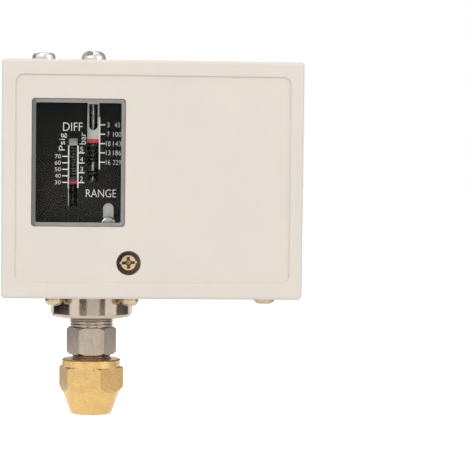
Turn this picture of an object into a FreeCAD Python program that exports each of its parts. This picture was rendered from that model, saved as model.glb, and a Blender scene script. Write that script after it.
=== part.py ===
"""Bellows pressure switch with an adjustable range and differential, in a plastic-fronted steel case.

Millimetres. X to the right, Y into the wall, Z up. The origin is on the back face, at the centre of
the four fixing holes.
"""
import FreeCAD, Part
import math
import os

V = FreeCAD.Vector
X_AXIS = V(1, 0, 0)
Y_AXIS = V(0, 1, 0)
Z_AXIS = V(0, 0, 1)

# Case and cover
CASE_WIDTH = 81.5
CASE_HEIGHT = 64.5
CASE_DEPTH = 42.0
COVER_WALL = 2.05
COVER_TOP_CORNER = 1.0
COVER_BOTTOM_CORNER = 1.2
COVER_EDGE_ROUND = 0.9
COVER_LIP = 6.0
COVER_BACK_GAP = 0.5
COVER_SIDE_FIT = 0.2
COVER_LIP_FIT = 0.1
BORDER_LEFT = 3.8
BORDER_RIGHT = 3.6
BORDER_TOP = 4.15
BORDER_BOTTOM = 4.4
PANEL_RECESS = 0.5
PANEL_CORNER = 2.2
PANEL_WALL = 2.0
RIM_ROUND = 0.35

# Window, a clear tray in an opening of the cover
WINDOW_OFFSET = 3.9
WINDOW_WIDTH = 25.2
WINDOW_TOP_GAP = 6.35
WINDOW_SCREW_GAP = 9.75
WINDOW_CORNER = 0.9
WINDOW_FIT = 0.1
WINDOW_WALL = 1.2
WINDOW_PROUD = 0.3
WINDOW_FLANGE = 1.6
WINDOW_FLANGE_THICK = 1.0

# Cover screw and its post
COVER_SCREW_OFFSET = 9.8
COVER_SCREW_RISE = 5.35
COVER_SCREW_RECESS_R = 3.3
COVER_SCREW_RECESS_DEPTH = 3.9
COVER_SCREW_BOSS_WALL = 1.1
COVER_SCREW_FLOOR = 1.4
COVER_SCREW_HEAD_R = 2.375
COVER_SCREW_HEAD_H = 1.8
COVER_SCREW_DOME = 0.5
COVER_SCREW_CROSS = 3.2
COVER_SCREW_SLOT = 0.7
COVER_SCREW_TURN = 3
COVER_SCREW_R = 1.45
COVER_SCREW_LENGTH = 9.6
COVER_POST_AF = 5.5
COVER_POST_TAP_DEPTH = 10.0
THREAD_GAP = 0.05
HOLE_GAP = 0.1

# Cross recesses, as shares of their own size and of the head's height
CROSS_BAR_SHARE = 0.25
CROSS_DEPTH_SHARE = 0.6
CROSS_CORE_SHARE = 0.75
CROSS_CORE_DEPTH_SHARE = 0.4

# Steel rear case
SHEET = 1.0
BEND = 0.4
REAR_FRONT_GAP = 3.5
SIDE_FLANGE_DEPTH = 9.0
SIDE_FLANGE_TRIM = 3.1
FLOOR_FLANGE = 3.0
BEND_RELIEF = 0.5
MOUNT_SPACING_X = 25.0
MOUNT_SPACING_Z = 24.0
MOUNT_HOLE_R = 1.65
MOUNT_COLLAR_R = 2.9
MOUNT_COLLAR_LENGTH = 2.0

# Cable inlet
CABLE_SHIFT = 0.3
CABLE_HOLE_R = 6.5
GROMMET_BORE_R = 4.2
GROMMET_CHAMFER = 0.45
GROMMET_LIP = 1.5
GROMMET_OUTER_THICK = 1.5
GROMMET_INNER_THICK = 1.2

# Mechanism frame and scale plate
FRAME_SHEET = 1.0
FRAME_GAP = 2.9
FRAME_LEFT_REACH = 19.0
FRAME_RIGHT_REACH = 22.0
FRAME_PIVOT_EDGE = 3.1
FRAME_TOP_REACH = 12.5
FRAME_BOSS_GAP = 0.4
LEG_LEFT_WIDTH = 5.0
LEG_RIGHT_WIDTH = 6.0
FOOT_DEPTH = 7.2
FOOT_LEFT_REACH = 12.5
FOOT_RIGHT_REACH = 15.5
SCALE_SHEET = 0.6
SCALE_LEFT_REACH = 18.5
SCALE_RIGHT_REACH = 11.2
SCALE_TOP_GAP = 3.1
SCALE_BOTTOM_GAP = 5.6
RANGE_SLOT_HALF = 1.6
RANGE_SLOT_DROP = 5.1
RANGE_SLOT_RISE = 13.35
RANGE_SLOT_BAR = 0.55
DIFF_SLOT_HALF = 1.15
DIFF_SLOT_DROP = 14.95
DIFF_SLOT_RISE = 6.7
NOTCH_OFFSET = 4.25
NOTCH_HALF = 1.43
NOTCH_RISE = 7.55
FRAME_SLOT_MARGIN = 0.4
PLATE_SCREW_RISE = 1.8
PLATE_SCREW_DROP = 2.4
PLATE_SCREW_DOME = 0.5
PLATE_SCREW_SLOT = 0.7
PLATE_SCREW_TURN = 35
PLATE_SCREW_HEAD_R = 2.1
PLATE_SCREW_HEAD_H = 1.3
PLATE_SCREW_R = 1.25
PLATE_SCREW_LENGTH = 3.0

# Range spindle, spring seat, pointer and spring
RANGE_INSET = 24.55
RANGE_SCREW_R = 2.44
RANGE_SCREW_TIP_GAP = 10.5
RANGE_HEAD_R = 3.4
RANGE_HEAD_H = 3.4
RANGE_HEAD_DOME = 2.2
DRIVE_SLOT = 1.9
DRIVE_DEPTH = 1.5
RANGE_DRIVE_TURN = 68
RUN_GAP = 0.06
BUSH_WALL = 1.3
BUSH_FLANGE_R = 5.0
BUSH_FLANGE_H = 1.0
BUSH_TAIL = 1.2
RANGE_WASHER_H = 0.9
CLIP_THICK = 0.6
CLIP_GAP = 0.3
CLIP_GROOVE = 0.35
CLIP_GROOVE_PLAY = 0.1
CLIP_MOUTH = 0.8
CLIP_WIDTH = 2.2
SEAT_DROP = 20.1
SEAT_R = 6.8
SEAT_THICK = 1.5
SEAT_SPIGOT_R = 4.2
SEAT_SPIGOT_H = 2.5
SEAT_HUB_R = 3.6
SEAT_HUB_H = 3.0
POINTER_SHEET = 0.6
POINTER_GAP = 0.2
RANGE_POINTER_HALF = 2.5
POINTER_RING_WALL = 2.0
RANGE_POINTER_FOOT = 0.9
RANGE_POINTER_HEIGHT = 10.5
POINTER_SLOT_HALF = 1.15
POINTER_SLOT_RISE = 4.35
RAIL_SHEET = 0.6
RAIL_DEPTH = 2.2
RAIL_RISE = 0.65
SPRING_R = 5.7
SPRING_WIRE_R = 0.8
SPRING_TURNS = 5.0

# Differential spindle, arm, pointer, spring and stem
SPINDLE_SPACING = 13.8
DIFF_SLOT_OFFSET = 5.36
DIFF_SCREW_R = 1.94
DIFF_SCREW_TIP_GAP = 7.5
DIFF_HEAD_R = 3.2
DIFF_HEAD_H = 3.05
DIFF_HEAD_DOME = 1.2
DIFF_DRIVE_TURN = 30
DIFF_WASHER_H = 0.6
DIFF_ARM_DROP = 28.5
DIFF_ARM_THICK = 1.3
DIFF_ARM_WIDTH = 5.2
DIFF_ARM_END = 1.9
DIFF_ARM_GAP = 0.6
DIFF_NUT_R = 3.4
DIFF_NUT_H = 4.3
DIFF_POINTER_HALF = 1.6
STEM_HOLE_GAP = 0.5
DIFF_WINDOW_HALF = 1.0
DIFF_WINDOW_HEAD = 1.95
DIFF_WINDOW_SILL = 0.2
DIFF_SPRING_OFFSET = 4.1
DIFF_SPRING_R = 1.8
DIFF_SPRING_WIRE_R = 0.28
DIFF_SPRING_TURNS = 22.0
TAB_DROP = 8.8
TAB_LEFT = 3.0
TAB_RIGHT = 2.0
TAB_LENGTH = 6.4
TAB_SIDE_GAP = 0.2
STEM_R = 0.6
STEM_HEAD_R = 1.25
STEM_HEAD_H = 1.0
STEM_COLLAR_R = 1.5
STEM_COLLAR_H = 1.0
STEM_GAP = 0.35
STEM_TIP = 0.3
STEM_WASHER_R = 2.2
STEM_WASHER_H = 0.4
STEM_WASHER_GAP = 0.15

# Main lever
PIVOT_OFFSET = 14.0
PIVOT_RISE = 12.6
PIVOT_R = 1.5
PIVOT_HEAD_R = 2.4
PIVOT_HEAD_H = 0.8
PIVOT_COLLAR_LENGTH = 3.0
LEVER_SHEET = 1.0
LEVER_RISE = 3.0
LEVER_LEFT_REACH = 11.0
LEVER_ARM_LAP = 2.0
LEVER_HALF_WIDTH = 7.5
LEVER_CHEEK_END = 2.5
LEVER_CHEEK_MID = 5.4
LEVER_CHEEK_LEFT = 5.0
LEVER_CHEEK_RIGHT = 5.0
LEVER_EAR_HALF = 2.5
LEVER_EAR_REACH = 2.5
LEVER_SEAT_R = 6.9
LEVER_SEAT_H = 1.0
LEVER_SPIGOT_H = 1.5
SPACER_WALL = 0.85
LEVER_SIDE_GAP = 0.2

# Pressure element, connector and flare nut
ELEMENT_SIZE = 27.6
ELEMENT_CORNER = 3.0
ELEMENT_LIP_GAP = 0.7
TOP_PLATE_THICK = 1.2
GUIDE_R = 4.9
GUIDE_LENGTH = 1.6
ROD_R = 1.75
ROD_LEVER_GAP = 0.1
ROD_DOME = 0.6
CUP_R = 11.3
CUP_WALL = 0.9
CUP_FLANGE_THICK = 1.1
CUP_STRAIGHT = 5.2
CUP_SHOULDER = 1.0
CUP_ROUND_SHARE = 0.7
CUP_CONE_DROP = 1.2
CUP_NECK_R = 5.6
CUP_HOLE_R = 4.0
ELEMENT_SCREW_SPACING = 20.8
ELEMENT_SCREW_R = 1.45
ELEMENT_SCREW_HEAD_R = 2.45
ELEMENT_SCREW_HEAD_H = 2.4
ELEMENT_SCREW_DOME = 1.6
ELEMENT_SCREW_TURN = 30
ELEMENT_SCREW_LENGTH = 4.8
BELLOWS_OUTER_R = 9.2
BELLOWS_INNER_R = 7.0
BELLOWS_WALL = 0.3
BELLOWS_FOLDS = 3
HEAD_DISC_R = 8.7
HEAD_DISC_THICK = 0.9
HEAD_DISC_DROP = 5.7
NECK_RINGS = 2
NECK_RING_R = 5.95
NECK_RING_H = 0.5
NECK_GROOVE_R = 5.2
NECK_GROOVE_H = 0.35
HEX_AF = 12.0
HEX_HEIGHT = 7.6
HEX_CHAMFER = 0.7
CONNECTOR_BORE_R = 1.6
STUB_R = 5.55
STUB_RELIEF = 0.35
STUB_LENGTH = 10.5
STUB_PLAIN_END = 1.0
THREAD_PITCH = 1.27
THREAD_DEPTH = 0.45
HEX_TRIM = 0.1
FLARE_TIP_R = 2.9
NUT_START = 1.3
NUT_COLLAR_R = 8.1
NUT_COLLAR_H = 2.2
NUT_AF = 16.0
NUT_HEX_H = 5.3
NUT_BEVEL_H = 1.7
NUT_CONE_TOP_R = 7.95
NUT_CONE_END_R = 5.75
NUT_CONE_H = 6.2
NUT_END_CHAMFER = 0.3
NUT_COLLAR_EDGE = 0.3
NUT_TOP_BEVEL = 0.6
NUT_TOP_BEVEL_H = 0.35
NUT_TURN = -14.5
NUT_THREAD_GAP = 0.1
TUBE_BORE_R = 3.25
BONNET_WALL = 1.6
BONNET_GAP = 0.05
BONNET_SEAT_GAP = 0.1
BONNET_HOLE_R = 1.9

# Switch block on its bracket
SWITCH_RIGHT_GAP = 1.2
SWITCH_WIDTH = 18.5
SWITCH_FRONT_REACH = 8.0
SWITCH_BACK_REACH = 8.0
SWITCH_RISE = 29.1
SWITCH_CORNER = 1.0
SWITCH_HALF_HEIGHT = 18.0
SWITCH_WALL = 2.0
CAVITY_WIDTH = 11.4
CAVITY_ABOVE = 6.0
CAVITY_BELOW = 6.2
ARM_PIVOT_INSET = 8.5
ARM_RISE = 6.5
ARM_PIN_R = 1.0
ARM_HUB_R = 1.7
PIN_GAP = 0.02
ARM_HUB_HALF = 4.0
ARM_STRIP = 0.6
ARM_HALF_WIDTH = 2.0
ARM_REACH = 7.0
ARM_SHIFT = 1.5
CONTACT_INSET = 2.5
CONTACT_R = 1.2
CONTACT_H = 0.7
FIXED_CONTACT_R = 1.0
FIXED_CONTACT_H = 1.0
CONTACT_CLOSED_GAP = 0.08
CONTACT_OPEN_GAP = 1.2
LEAF_THICK = 0.4
LEAF_LEVER_GAP = 1.5
LEAF_INSET = 0.6
LEAF_TAIL = 5.0
LEAF_BOW = 1.2
LEAF_FOOT = 2.6
LEAF_SIDE = 0.5
LEAF_BEND = 0.2
TERMINAL_THICK = 1.2
TERMINAL_STRIP = 0.8
TERMINAL_INSET = 4.5
TERMINAL_SPACING = 12.0
TERMINAL_HALF = 3.5
TERMINAL_LEG_INSET = 1.0
COMMON_LEG_WALL = 0.8
COMMON_LEG_TRIM = 0.4
TERMINAL_LEG_WIDTH = 3.0
TERMINAL_SCREW_R = 1.7
TERMINAL_SCREW_HEAD_R = 3.0
TERMINAL_SCREW_HEAD_H = 2.2
TERMINAL_SCREW_LENGTH = 5.0
TERMINAL_SCREW_DOME = 0.6
TERMINAL_SCREW_SLOT = 0.9
BRACKET_SHEET = 1.0
BRACKET_INSET = 3.0
BRACKET_TRIM = 1.0
BRACKET_FOOT_DEPTH = 15.0
BRACKET_SCREW_INSET = 5.2
BRACKET_SCREW_R = 1.65
BRACKET_SCREW_HEAD_R = 2.95
BRACKET_SCREW_HEAD_H = 2.9
BRACKET_SCREW_DOME = 1.3
BRACKET_SCREW_TURN = 15
BRACKET_SCREW_LENGTH = 6.0
PLAIN_WASHER_R = 4.5
PLAIN_WASHER_H = 1.0
SPRING_WASHER_R = 3.3
SPRING_WASHER_H = 0.9
SPRING_WASHER_SPLIT = 0.6
RIVET_R = 1.2
RIVET_HEAD_R = 2.2
RIVET_HEAD_H = 1.0
RIVET_DOME = 0.6
RIVET_GRIP = 3.0
RIVET_INSET_X = 4.5
RIVET_INSET_Z = 3.0

# Earth screw on the back plate
EARTH_OFFSET = 2.2
EARTH_DROP = 7.1
EARTH_SCREW_R = 1.95
EARTH_HEAD_R = 3.4
EARTH_HEAD_H = 2.4
EARTH_DOME = 0.7
EARTH_SLOT = 0.9
EARTH_WASHER_R = 4.4
EARTH_WASHER_H = 0.8
EARTH_COLLAR_R = 3.2
EARTH_COLLAR_LENGTH = 2.0

# Planes in depth, worked out from the cover's front
FRONT_Y = -CASE_DEPTH
PANEL_Y = FRONT_Y + PANEL_RECESS
PANEL_BACK_Y = PANEL_Y + PANEL_WALL
BOSS_FRONT_Y = PANEL_Y + COVER_SCREW_RECESS_DEPTH
BOSS_BACK_Y = BOSS_FRONT_Y + COVER_SCREW_FLOOR
FRAME_FRONT_Y = PANEL_BACK_Y + FRAME_GAP
FRAME_BACK_Y = FRAME_FRONT_Y + FRAME_SHEET
SCALE_FRONT_Y = FRAME_FRONT_Y - SCALE_SHEET
POINTER_FRONT_Y = FRAME_BACK_Y + POINTER_GAP
POINTER_BACK_Y = POINTER_FRONT_Y + POINTER_SHEET
DIFF_SPRING_Y = FRAME_BACK_Y + DIFF_SPRING_OFFSET
REAR_FRONT_Y = FRONT_Y + REAR_FRONT_GAP
AXIS_Y = FRONT_Y + COVER_LIP + ELEMENT_LIP_GAP + ELEMENT_SIZE / 2
ARM_MID_Y = AXIS_Y + ARM_SHIFT
SWITCH_FRONT_Y = ARM_MID_Y - SWITCH_FRONT_REACH
SWITCH_BACK_Y = ARM_MID_Y + SWITCH_BACK_REACH
TERMINAL_FRONT_Y = SWITCH_FRONT_Y - TERMINAL_THICK
CABLE_Y = AXIS_Y + CABLE_SHIFT

# Places across: the mechanism keeps to the left side, the switch to the right, the cable between them
REAR_HALF_W = CASE_WIDTH / 2 - COVER_WALL - COVER_SIDE_FIT
RANGE_X = RANGE_INSET - CASE_WIDTH / 2
DIFF_X = RANGE_X - SPINDLE_SPACING
DIFF_SLOT_X = RANGE_X - DIFF_SLOT_OFFSET
PIVOT_X = RANGE_X + PIVOT_OFFSET
NOTCH_X = RANGE_X + NOTCH_OFFSET
WINDOW_X = RANGE_X - WINDOW_OFFSET
COVER_SCREW_X = RANGE_X + COVER_SCREW_OFFSET
FRAME_LEFT = RANGE_X - FRAME_LEFT_REACH
FRAME_RIGHT = RANGE_X + FRAME_RIGHT_REACH
EARTH_X = FRAME_RIGHT + EARTH_OFFSET
SWITCH_RIGHT = CASE_WIDTH / 2 - COVER_WALL - SWITCH_RIGHT_GAP
SWITCH_LEFT = SWITCH_RIGHT - SWITCH_WIDTH
ARM_PIVOT_X = SWITCH_LEFT + ARM_PIVOT_INSET
ARM_LEFT = SWITCH_LEFT - ARM_REACH
CONTACT_X = SWITCH_LEFT + CONTACT_INSET
TERMINAL_X = SWITCH_RIGHT - TERMINAL_INSET
TERMINAL_LEG_LEFT = SWITCH_LEFT + TERMINAL_LEG_INSET
BRACKET_LEFT = SWITCH_LEFT + BRACKET_INSET
BRACKET_SCREW_X = SWITCH_RIGHT - BRACKET_SCREW_INSET
LEVER_LEFT = RANGE_X - LEVER_LEFT_REACH
LEVER_RIGHT = ARM_LEFT + LEVER_ARM_LAP
CABLE_X = (RANGE_X + ELEMENT_SIZE / 2 + BRACKET_SCREW_X - PLAIN_WASHER_R) / 2

# Levels: the cover's panel and window
PANEL_LOW_Z = BORDER_BOTTOM - CASE_HEIGHT / 2
PANEL_HIGH_Z = CASE_HEIGHT / 2 - BORDER_TOP
COVER_SCREW_Z = PANEL_LOW_Z + COVER_SCREW_RISE
WINDOW_LOW_Z = COVER_SCREW_Z + WINDOW_SCREW_GAP
WINDOW_HIGH_Z = PANEL_HIGH_Z - WINDOW_TOP_GAP

# Levels carried by the case's floor
REAR_HALF_H = CASE_HEIGHT / 2 - COVER_WALL - COVER_LIP_FIT
FLOOR_Z = SHEET - REAR_HALF_H
PIVOT_Z = FLOOR_Z + PIVOT_RISE
LEVER_TOP_Z = PIVOT_Z + LEVER_RISE
LEVER_UNDER_Z = LEVER_TOP_Z - LEVER_SHEET
SPRING_LOW_Z = LEVER_TOP_Z + LEVER_SEAT_H
RANGE_SCREW_END = LEVER_TOP_Z + RANGE_SCREW_TIP_GAP
DIFF_SCREW_END = LEVER_TOP_Z + DIFF_SCREW_TIP_GAP
FRAME_BOTTOM = PIVOT_Z - FRAME_PIVOT_EDGE
SCALE_BOTTOM = FRAME_BOTTOM + SCALE_BOTTOM_GAP
RANGE_SLOT_BOTTOM = SCALE_BOTTOM + RANGE_SLOT_RISE
DIFF_SLOT_BOTTOM = SCALE_BOTTOM + DIFF_SLOT_RISE
NOTCH_TOP = SCALE_BOTTOM + NOTCH_RISE
PLATE_SCREW_Z = SCALE_BOTTOM + PLATE_SCREW_RISE
RAIL_BOTTOM = RANGE_SLOT_BOTTOM + RAIL_RISE
SWITCH_MID_Z = FLOOR_Z + SWITCH_RISE
ARM_PIVOT_Z = LEVER_TOP_Z + ARM_RISE
STRIP_LOW_Z = ARM_PIVOT_Z - ARM_STRIP / 2
STRIP_HIGH_Z = ARM_PIVOT_Z + ARM_STRIP / 2
UPPER_CONTACT_Z = STRIP_HIGH_Z + CONTACT_H + CONTACT_CLOSED_GAP
LOWER_CONTACT_Z = STRIP_LOW_Z - CONTACT_H - CONTACT_OPEN_GAP
UPPER_STRIP_Z = UPPER_CONTACT_Z + FIXED_CONTACT_H
LOWER_STRIP_Z = LOWER_CONTACT_Z - FIXED_CONTACT_H - TERMINAL_STRIP
TERMINAL_LEVELS = [SWITCH_MID_Z + i * TERMINAL_SPACING for i in (-1, 0, 1)]

# Levels carried by the case's top
CEILING_Z = REAR_HALF_H - SHEET
SCALE_TOP = CEILING_Z - SCALE_TOP_GAP
RANGE_SLOT_TOP = SCALE_TOP - RANGE_SLOT_DROP
DIFF_SLOT_TOP = SCALE_TOP - DIFF_SLOT_DROP
PLATE_SCREW_TOP_Z = SCALE_TOP - PLATE_SCREW_DROP
SEAT_Z = CEILING_Z - SEAT_DROP
RANGE_POINTER_BOTTOM = SEAT_Z + RANGE_POINTER_FOOT
RANGE_POINTER_TOP = SEAT_Z + RANGE_POINTER_HEIGHT
POINTER_SLOT_BOTTOM = SEAT_Z + POINTER_SLOT_RISE
DIFF_ARM_Z = CEILING_Z - DIFF_ARM_DROP
TAB_Z = CEILING_Z - TAB_DROP
EARTH_Z = CEILING_Z - EARTH_DROP

# Levels of the pressure element, down from the case's floor
TOP_PLATE_Z = -REAR_HALF_H - TOP_PLATE_THICK
CUP_TOP_Z = TOP_PLATE_Z - CUP_FLANGE_THICK
CUP_SHOULDER_Z = CUP_TOP_Z - CUP_STRAIGHT
CUP_END_Z = CUP_SHOULDER_Z - CUP_SHOULDER - CUP_CONE_DROP
HEX_TOP_Z = CUP_END_Z - NECK_RINGS * (NECK_RING_H + NECK_GROOVE_H)
HEX_END_Z = HEX_TOP_Z - HEX_HEIGHT
STUB_END_Z = HEX_END_Z - STUB_LENGTH
FLARE_R = STUB_R - STUB_RELIEF
FLARE_TIP_Z = STUB_END_Z - (FLARE_R - FLARE_TIP_R)
NUT_TOP_Z = HEX_END_Z - NUT_START
NUT_HEX_Z = NUT_TOP_Z - NUT_COLLAR_H
NUT_BEVEL_Z = NUT_HEX_Z - NUT_HEX_H
NUT_CONE_Z = NUT_BEVEL_Z - NUT_BEVEL_H
NUT_END_Z = NUT_CONE_Z - NUT_CONE_H


def box(x0, x1, y0, y1, z0, z1):
    """A block between two limits on each axis."""
    return Part.makeBox(x1 - x0, y1 - y0, z1 - z0, V(x0, y0, z0))


def upright(radius, x, y, z0, z1):
    """A round bar along Z."""
    return Part.makeCylinder(radius, z1 - z0, V(x, y, z0))


def level(radius, x, z, y0, y1):
    """A round bar along Y."""
    return Part.makeCylinder(radius, y1 - y0, V(x, y0, z), Y_AXIS)


def joined(*shapes):
    """One solid from shapes that touch."""
    return shapes[0].multiFuse(list(shapes[1:])).removeSplitter()


def is_along(edge, axis):
    """True for a straight edge parallel to the axis."""
    start, end = edge.Vertexes[0].Point, edge.Vertexes[-1].Point
    run = end - start
    return run.Length > 1e-6 and abs(abs(run.dot(axis)) - run.Length) < 1e-6


def rounded(shape, radius, chosen):
    """The shape with the chosen edges rounded."""
    return shape.makeFillet(radius, [edge for edge in shape.Edges if chosen(edge)])


def plate_y(x0, x1, y0, y1, z0, z1, corner):
    """A block with its four edges along Y rounded."""
    return rounded(box(x0, x1, y0, y1, z0, z1), corner, lambda edge: is_along(edge, Y_AXIS))


def plate_z(x0, x1, y0, y1, z0, z1, corner):
    """A block with its four edges along Z rounded."""
    return rounded(box(x0, x1, y0, y1, z0, z1), corner, lambda edge: is_along(edge, Z_AXIS))


def sheet_xz(points, y0, y1):
    """An outline in X and Z, given thickness along Y."""
    wire = Part.makePolygon([V(x, y0, z) for x, z in points + points[:1]])
    return Part.Face(wire).extrude(V(0, y1 - y0, 0))


def turned(profile, x, y):
    """An outline of radius and height turned about a vertical axis."""
    wire = Part.makePolygon([V(x + r, y, z) for r, z in profile + profile[:1]])
    return Part.Face(wire).revolve(V(x, y, 0), Z_AXIS, 360)


def hexagon(across_flats, x, y, z0, z1, turn=0.0):
    """An upright hexagonal bar; with no turn it has a flat facing the front."""
    radius = across_flats / 2 / math.cos(math.pi / 6)
    angles = [math.radians(60 * i + turn) for i in range(7)]
    wire = Part.makePolygon([V(x + radius * math.cos(a), y + radius * math.sin(a), z0) for a in angles])
    return Part.Face(wire).extrude(V(0, 0, z1 - z0))


def coil(x, y, z0, z1, mean_r, wire_r, turns):
    """A compression spring with its ends ground flat."""
    height = z1 - z0
    pitch = height / turns
    path = Part.makeHelix(pitch, height, mean_r)
    along = V(0, 2 * math.pi * mean_r, pitch)
    section = Part.Wire(Part.makeCircle(wire_r, V(mean_r, 0, 0), along))
    wire = Part.Wire(path.Edges).makePipeShell([section], True, True)
    reach = mean_r + 2 * wire_r
    ground = wire.common(box(-reach, reach, -reach, reach, 0, height))
    return ground.translated(V(x, y, z0))


def cross_drive(head_h, size, turn):
    """The cutter for a cross recess in the top of a screw head, with a square core set on its corners."""
    width = size * CROSS_BAR_SHARE
    depth = head_h * CROSS_DEPTH_SHARE
    core_half = size * CROSS_CORE_SHARE / 2 / math.sqrt(2)
    core_z = head_h * (1 - CROSS_CORE_DEPTH_SHARE)
    core = box(-core_half, core_half, -core_half, core_half, core_z, head_h + 1)
    bars = [box(-size / 2, size / 2, -width / 2, width / 2, head_h - depth, head_h + 1),
            box(-width / 2, width / 2, -size / 2, size / 2, head_h - depth, head_h + 1)]
    return joined(*bars, core.rotated(V(0, 0, 0), Z_AXIS, 45)).rotated(V(0, 0, 0), Z_AXIS, turn)


def slot_drive(head_r, head_h, width, depth, turn):
    """The cutter for a slot right across the top of a screw head."""
    slot = box(-head_r - 1, head_r + 1, -width / 2, width / 2, head_h - depth, head_h + 1)
    return slot.rotated(V(0, 0, 0), Z_AXIS, turn)


def screw(shank_r, length, head_r, head_h, dome):
    """A screw along Z: the head stands on z = 0 and the shank hangs below."""
    head = Part.makeCylinder(head_r, head_h)
    head = rounded(head, dome, lambda edge: edge.BoundBox.ZMin > head_h - 1e-6)
    shank = Part.makeCylinder(shank_r, length, V(0, 0, -length))
    return joined(head, shank)


def placed(shape, x, y, z, direction):
    """The shape moved so that its own Z points along the direction."""
    shape = shape.copy()
    shape.Placement = FreeCAD.Placement(V(x, y, z), FreeCAD.Rotation(Z_AXIS, direction))
    return shape


def corners(spacing_x, spacing_y, x=0.0, y=0.0):
    """The four corners of a rectangle of holes."""
    return [(x + i * spacing_x / 2, y + j * spacing_y / 2) for i in (-1, 1) for j in (-1, 1)]


def front_cover():
    half_w, half_h = CASE_WIDTH / 2, CASE_HEIGHT / 2
    body = box(-half_w, half_w, FRONT_Y, -COVER_BACK_GAP, -half_h, half_h)
    body = rounded(body, COVER_TOP_CORNER, lambda e: is_along(e, Y_AXIS) and e.BoundBox.ZMin > 0)
    body = rounded(body, COVER_BOTTOM_CORNER,
                   lambda e: is_along(e, Y_AXIS) and e.BoundBox.ZMax < 1 - half_h)
    body = rounded(body, COVER_EDGE_ROUND, lambda e: e.BoundBox.YMax < FRONT_Y + 1e-3)
    inner_w, inner_h = half_w - COVER_WALL, half_h - COVER_WALL
    hollow = box(-inner_w, inner_w, PANEL_BACK_Y, 0, -inner_h, inner_h)
    open_ends = box(-inner_w, inner_w, FRONT_Y + COVER_LIP, 0, -half_h - 1, half_h + 1)
    body = body.cut([hollow, open_ends])
    left, right = BORDER_LEFT - half_w, half_w - BORDER_RIGHT
    low, high = PANEL_LOW_Z, PANEL_HIGH_Z
    body = body.cut(plate_y(left, right, FRONT_Y - 1, PANEL_Y, low, high, PANEL_CORNER))

    def on_rim(edge):
        span = edge.BoundBox
        inside = span.XMin > left - 1e-3 and span.XMax < right + 1e-3
        return inside and span.ZMin > low - 1e-3 and span.ZMax < high + 1e-3 and span.YMax < FRONT_Y + 1e-3

    body = rounded(body, RIM_ROUND, on_rim)
    boss = level(COVER_SCREW_RECESS_R + COVER_SCREW_BOSS_WALL, COVER_SCREW_X, COVER_SCREW_Z,
                 PANEL_BACK_Y, BOSS_BACK_Y)
    body = joined(body, boss)
    recess = level(COVER_SCREW_RECESS_R, COVER_SCREW_X, COVER_SCREW_Z, FRONT_Y - 1, BOSS_FRONT_Y)
    hole = level(COVER_SCREW_R + HOLE_GAP, COVER_SCREW_X, COVER_SCREW_Z, FRONT_Y, 0)
    return body.cut([recess, hole, window_outline(0, FRONT_Y - 1, PANEL_BACK_Y + 1)])


def window_outline(inset, y0, y1):
    """A block of the window's outline, drawn in by an inset."""
    half_w = WINDOW_WIDTH / 2 - inset
    return plate_y(WINDOW_X - half_w, WINDOW_X + half_w, y0, y1, WINDOW_LOW_Z + inset,
                   WINDOW_HIGH_Z - inset, WINDOW_CORNER)


def window_pane():
    front = PANEL_Y + WINDOW_PROUD
    back = PANEL_BACK_Y + WINDOW_FLANGE_THICK
    tray = joined(window_outline(WINDOW_FIT, front, back),
                  window_outline(-WINDOW_FLANGE, PANEL_BACK_Y, back))
    return tray.cut(window_outline(WINDOW_FIT + WINDOW_WALL, front + WINDOW_WALL, back + 1))


def cover_screw():
    body = screw(COVER_SCREW_R, COVER_SCREW_LENGTH, COVER_SCREW_HEAD_R, COVER_SCREW_HEAD_H,
                 COVER_SCREW_DOME)
    cross = cross_drive(COVER_SCREW_HEAD_H, COVER_SCREW_CROSS, COVER_SCREW_TURN)
    slot = slot_drive(COVER_SCREW_HEAD_R, COVER_SCREW_HEAD_H, COVER_SCREW_SLOT, COVER_SCREW_SLOT,
                      COVER_SCREW_TURN)
    return placed(body.cut([cross, slot]), COVER_SCREW_X, BOSS_FRONT_Y, COVER_SCREW_Z, -Y_AXIS)


def cover_post():
    length = -SHEET - BOSS_BACK_Y
    body = joined(hexagon(COVER_POST_AF, 0, 0, 0, length),
                  Part.makeCylinder(COVER_SCREW_R, SHEET, V(0, 0, -SHEET)))
    tapped = Part.makeCylinder(COVER_SCREW_R + THREAD_GAP, COVER_POST_TAP_DEPTH,
                               V(0, 0, length - COVER_POST_TAP_DEPTH))
    return placed(body.cut(tapped), COVER_SCREW_X, -SHEET, COVER_SCREW_Z, -Y_AXIS)


def collar(radius, bore, x, z, length):
    """A drawn collar standing in from the back plate, and its bore."""
    ring = level(radius, x, z, -SHEET - length, -SHEET)
    hole = level(bore, x, z, -SHEET - length - 1, 1)
    return ring, hole


def with_side_flange(shell, side, side_half):
    """The case with a short flange folded forward at one side."""
    edge, fold = side * REAR_HALF_W, BEND + SHEET
    root = edge - side * (fold + BEND_RELIEF)
    x0, x1 = sorted((root, edge + side))
    notch = box(x0, x1, -fold, 1, -side_half - BEND_RELIEF, side_half + BEND_RELIEF)
    corner = rounded(box(*sorted((root, edge)), -SIDE_FLANGE_DEPTH, 0, -side_half, side_half), fold,
                     lambda e: is_along(e, Z_AXIS) and abs(e.BoundBox.XMin - edge) < 1e-3
                     and e.BoundBox.YMin > -1e-3)
    inside = box(*sorted((root - side, edge - side * SHEET)), -SIDE_FLANGE_DEPTH - 1, -SHEET,
                 -side_half - 1, side_half + 1)
    inside = rounded(inside, BEND, lambda e: is_along(e, Z_AXIS) and e.BoundBox.YMin > -SHEET - 1e-3
                     and abs(e.BoundBox.XMin - edge + side * SHEET) < 1e-3)
    return joined(shell.cut(notch), corner.cut(inside))


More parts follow.
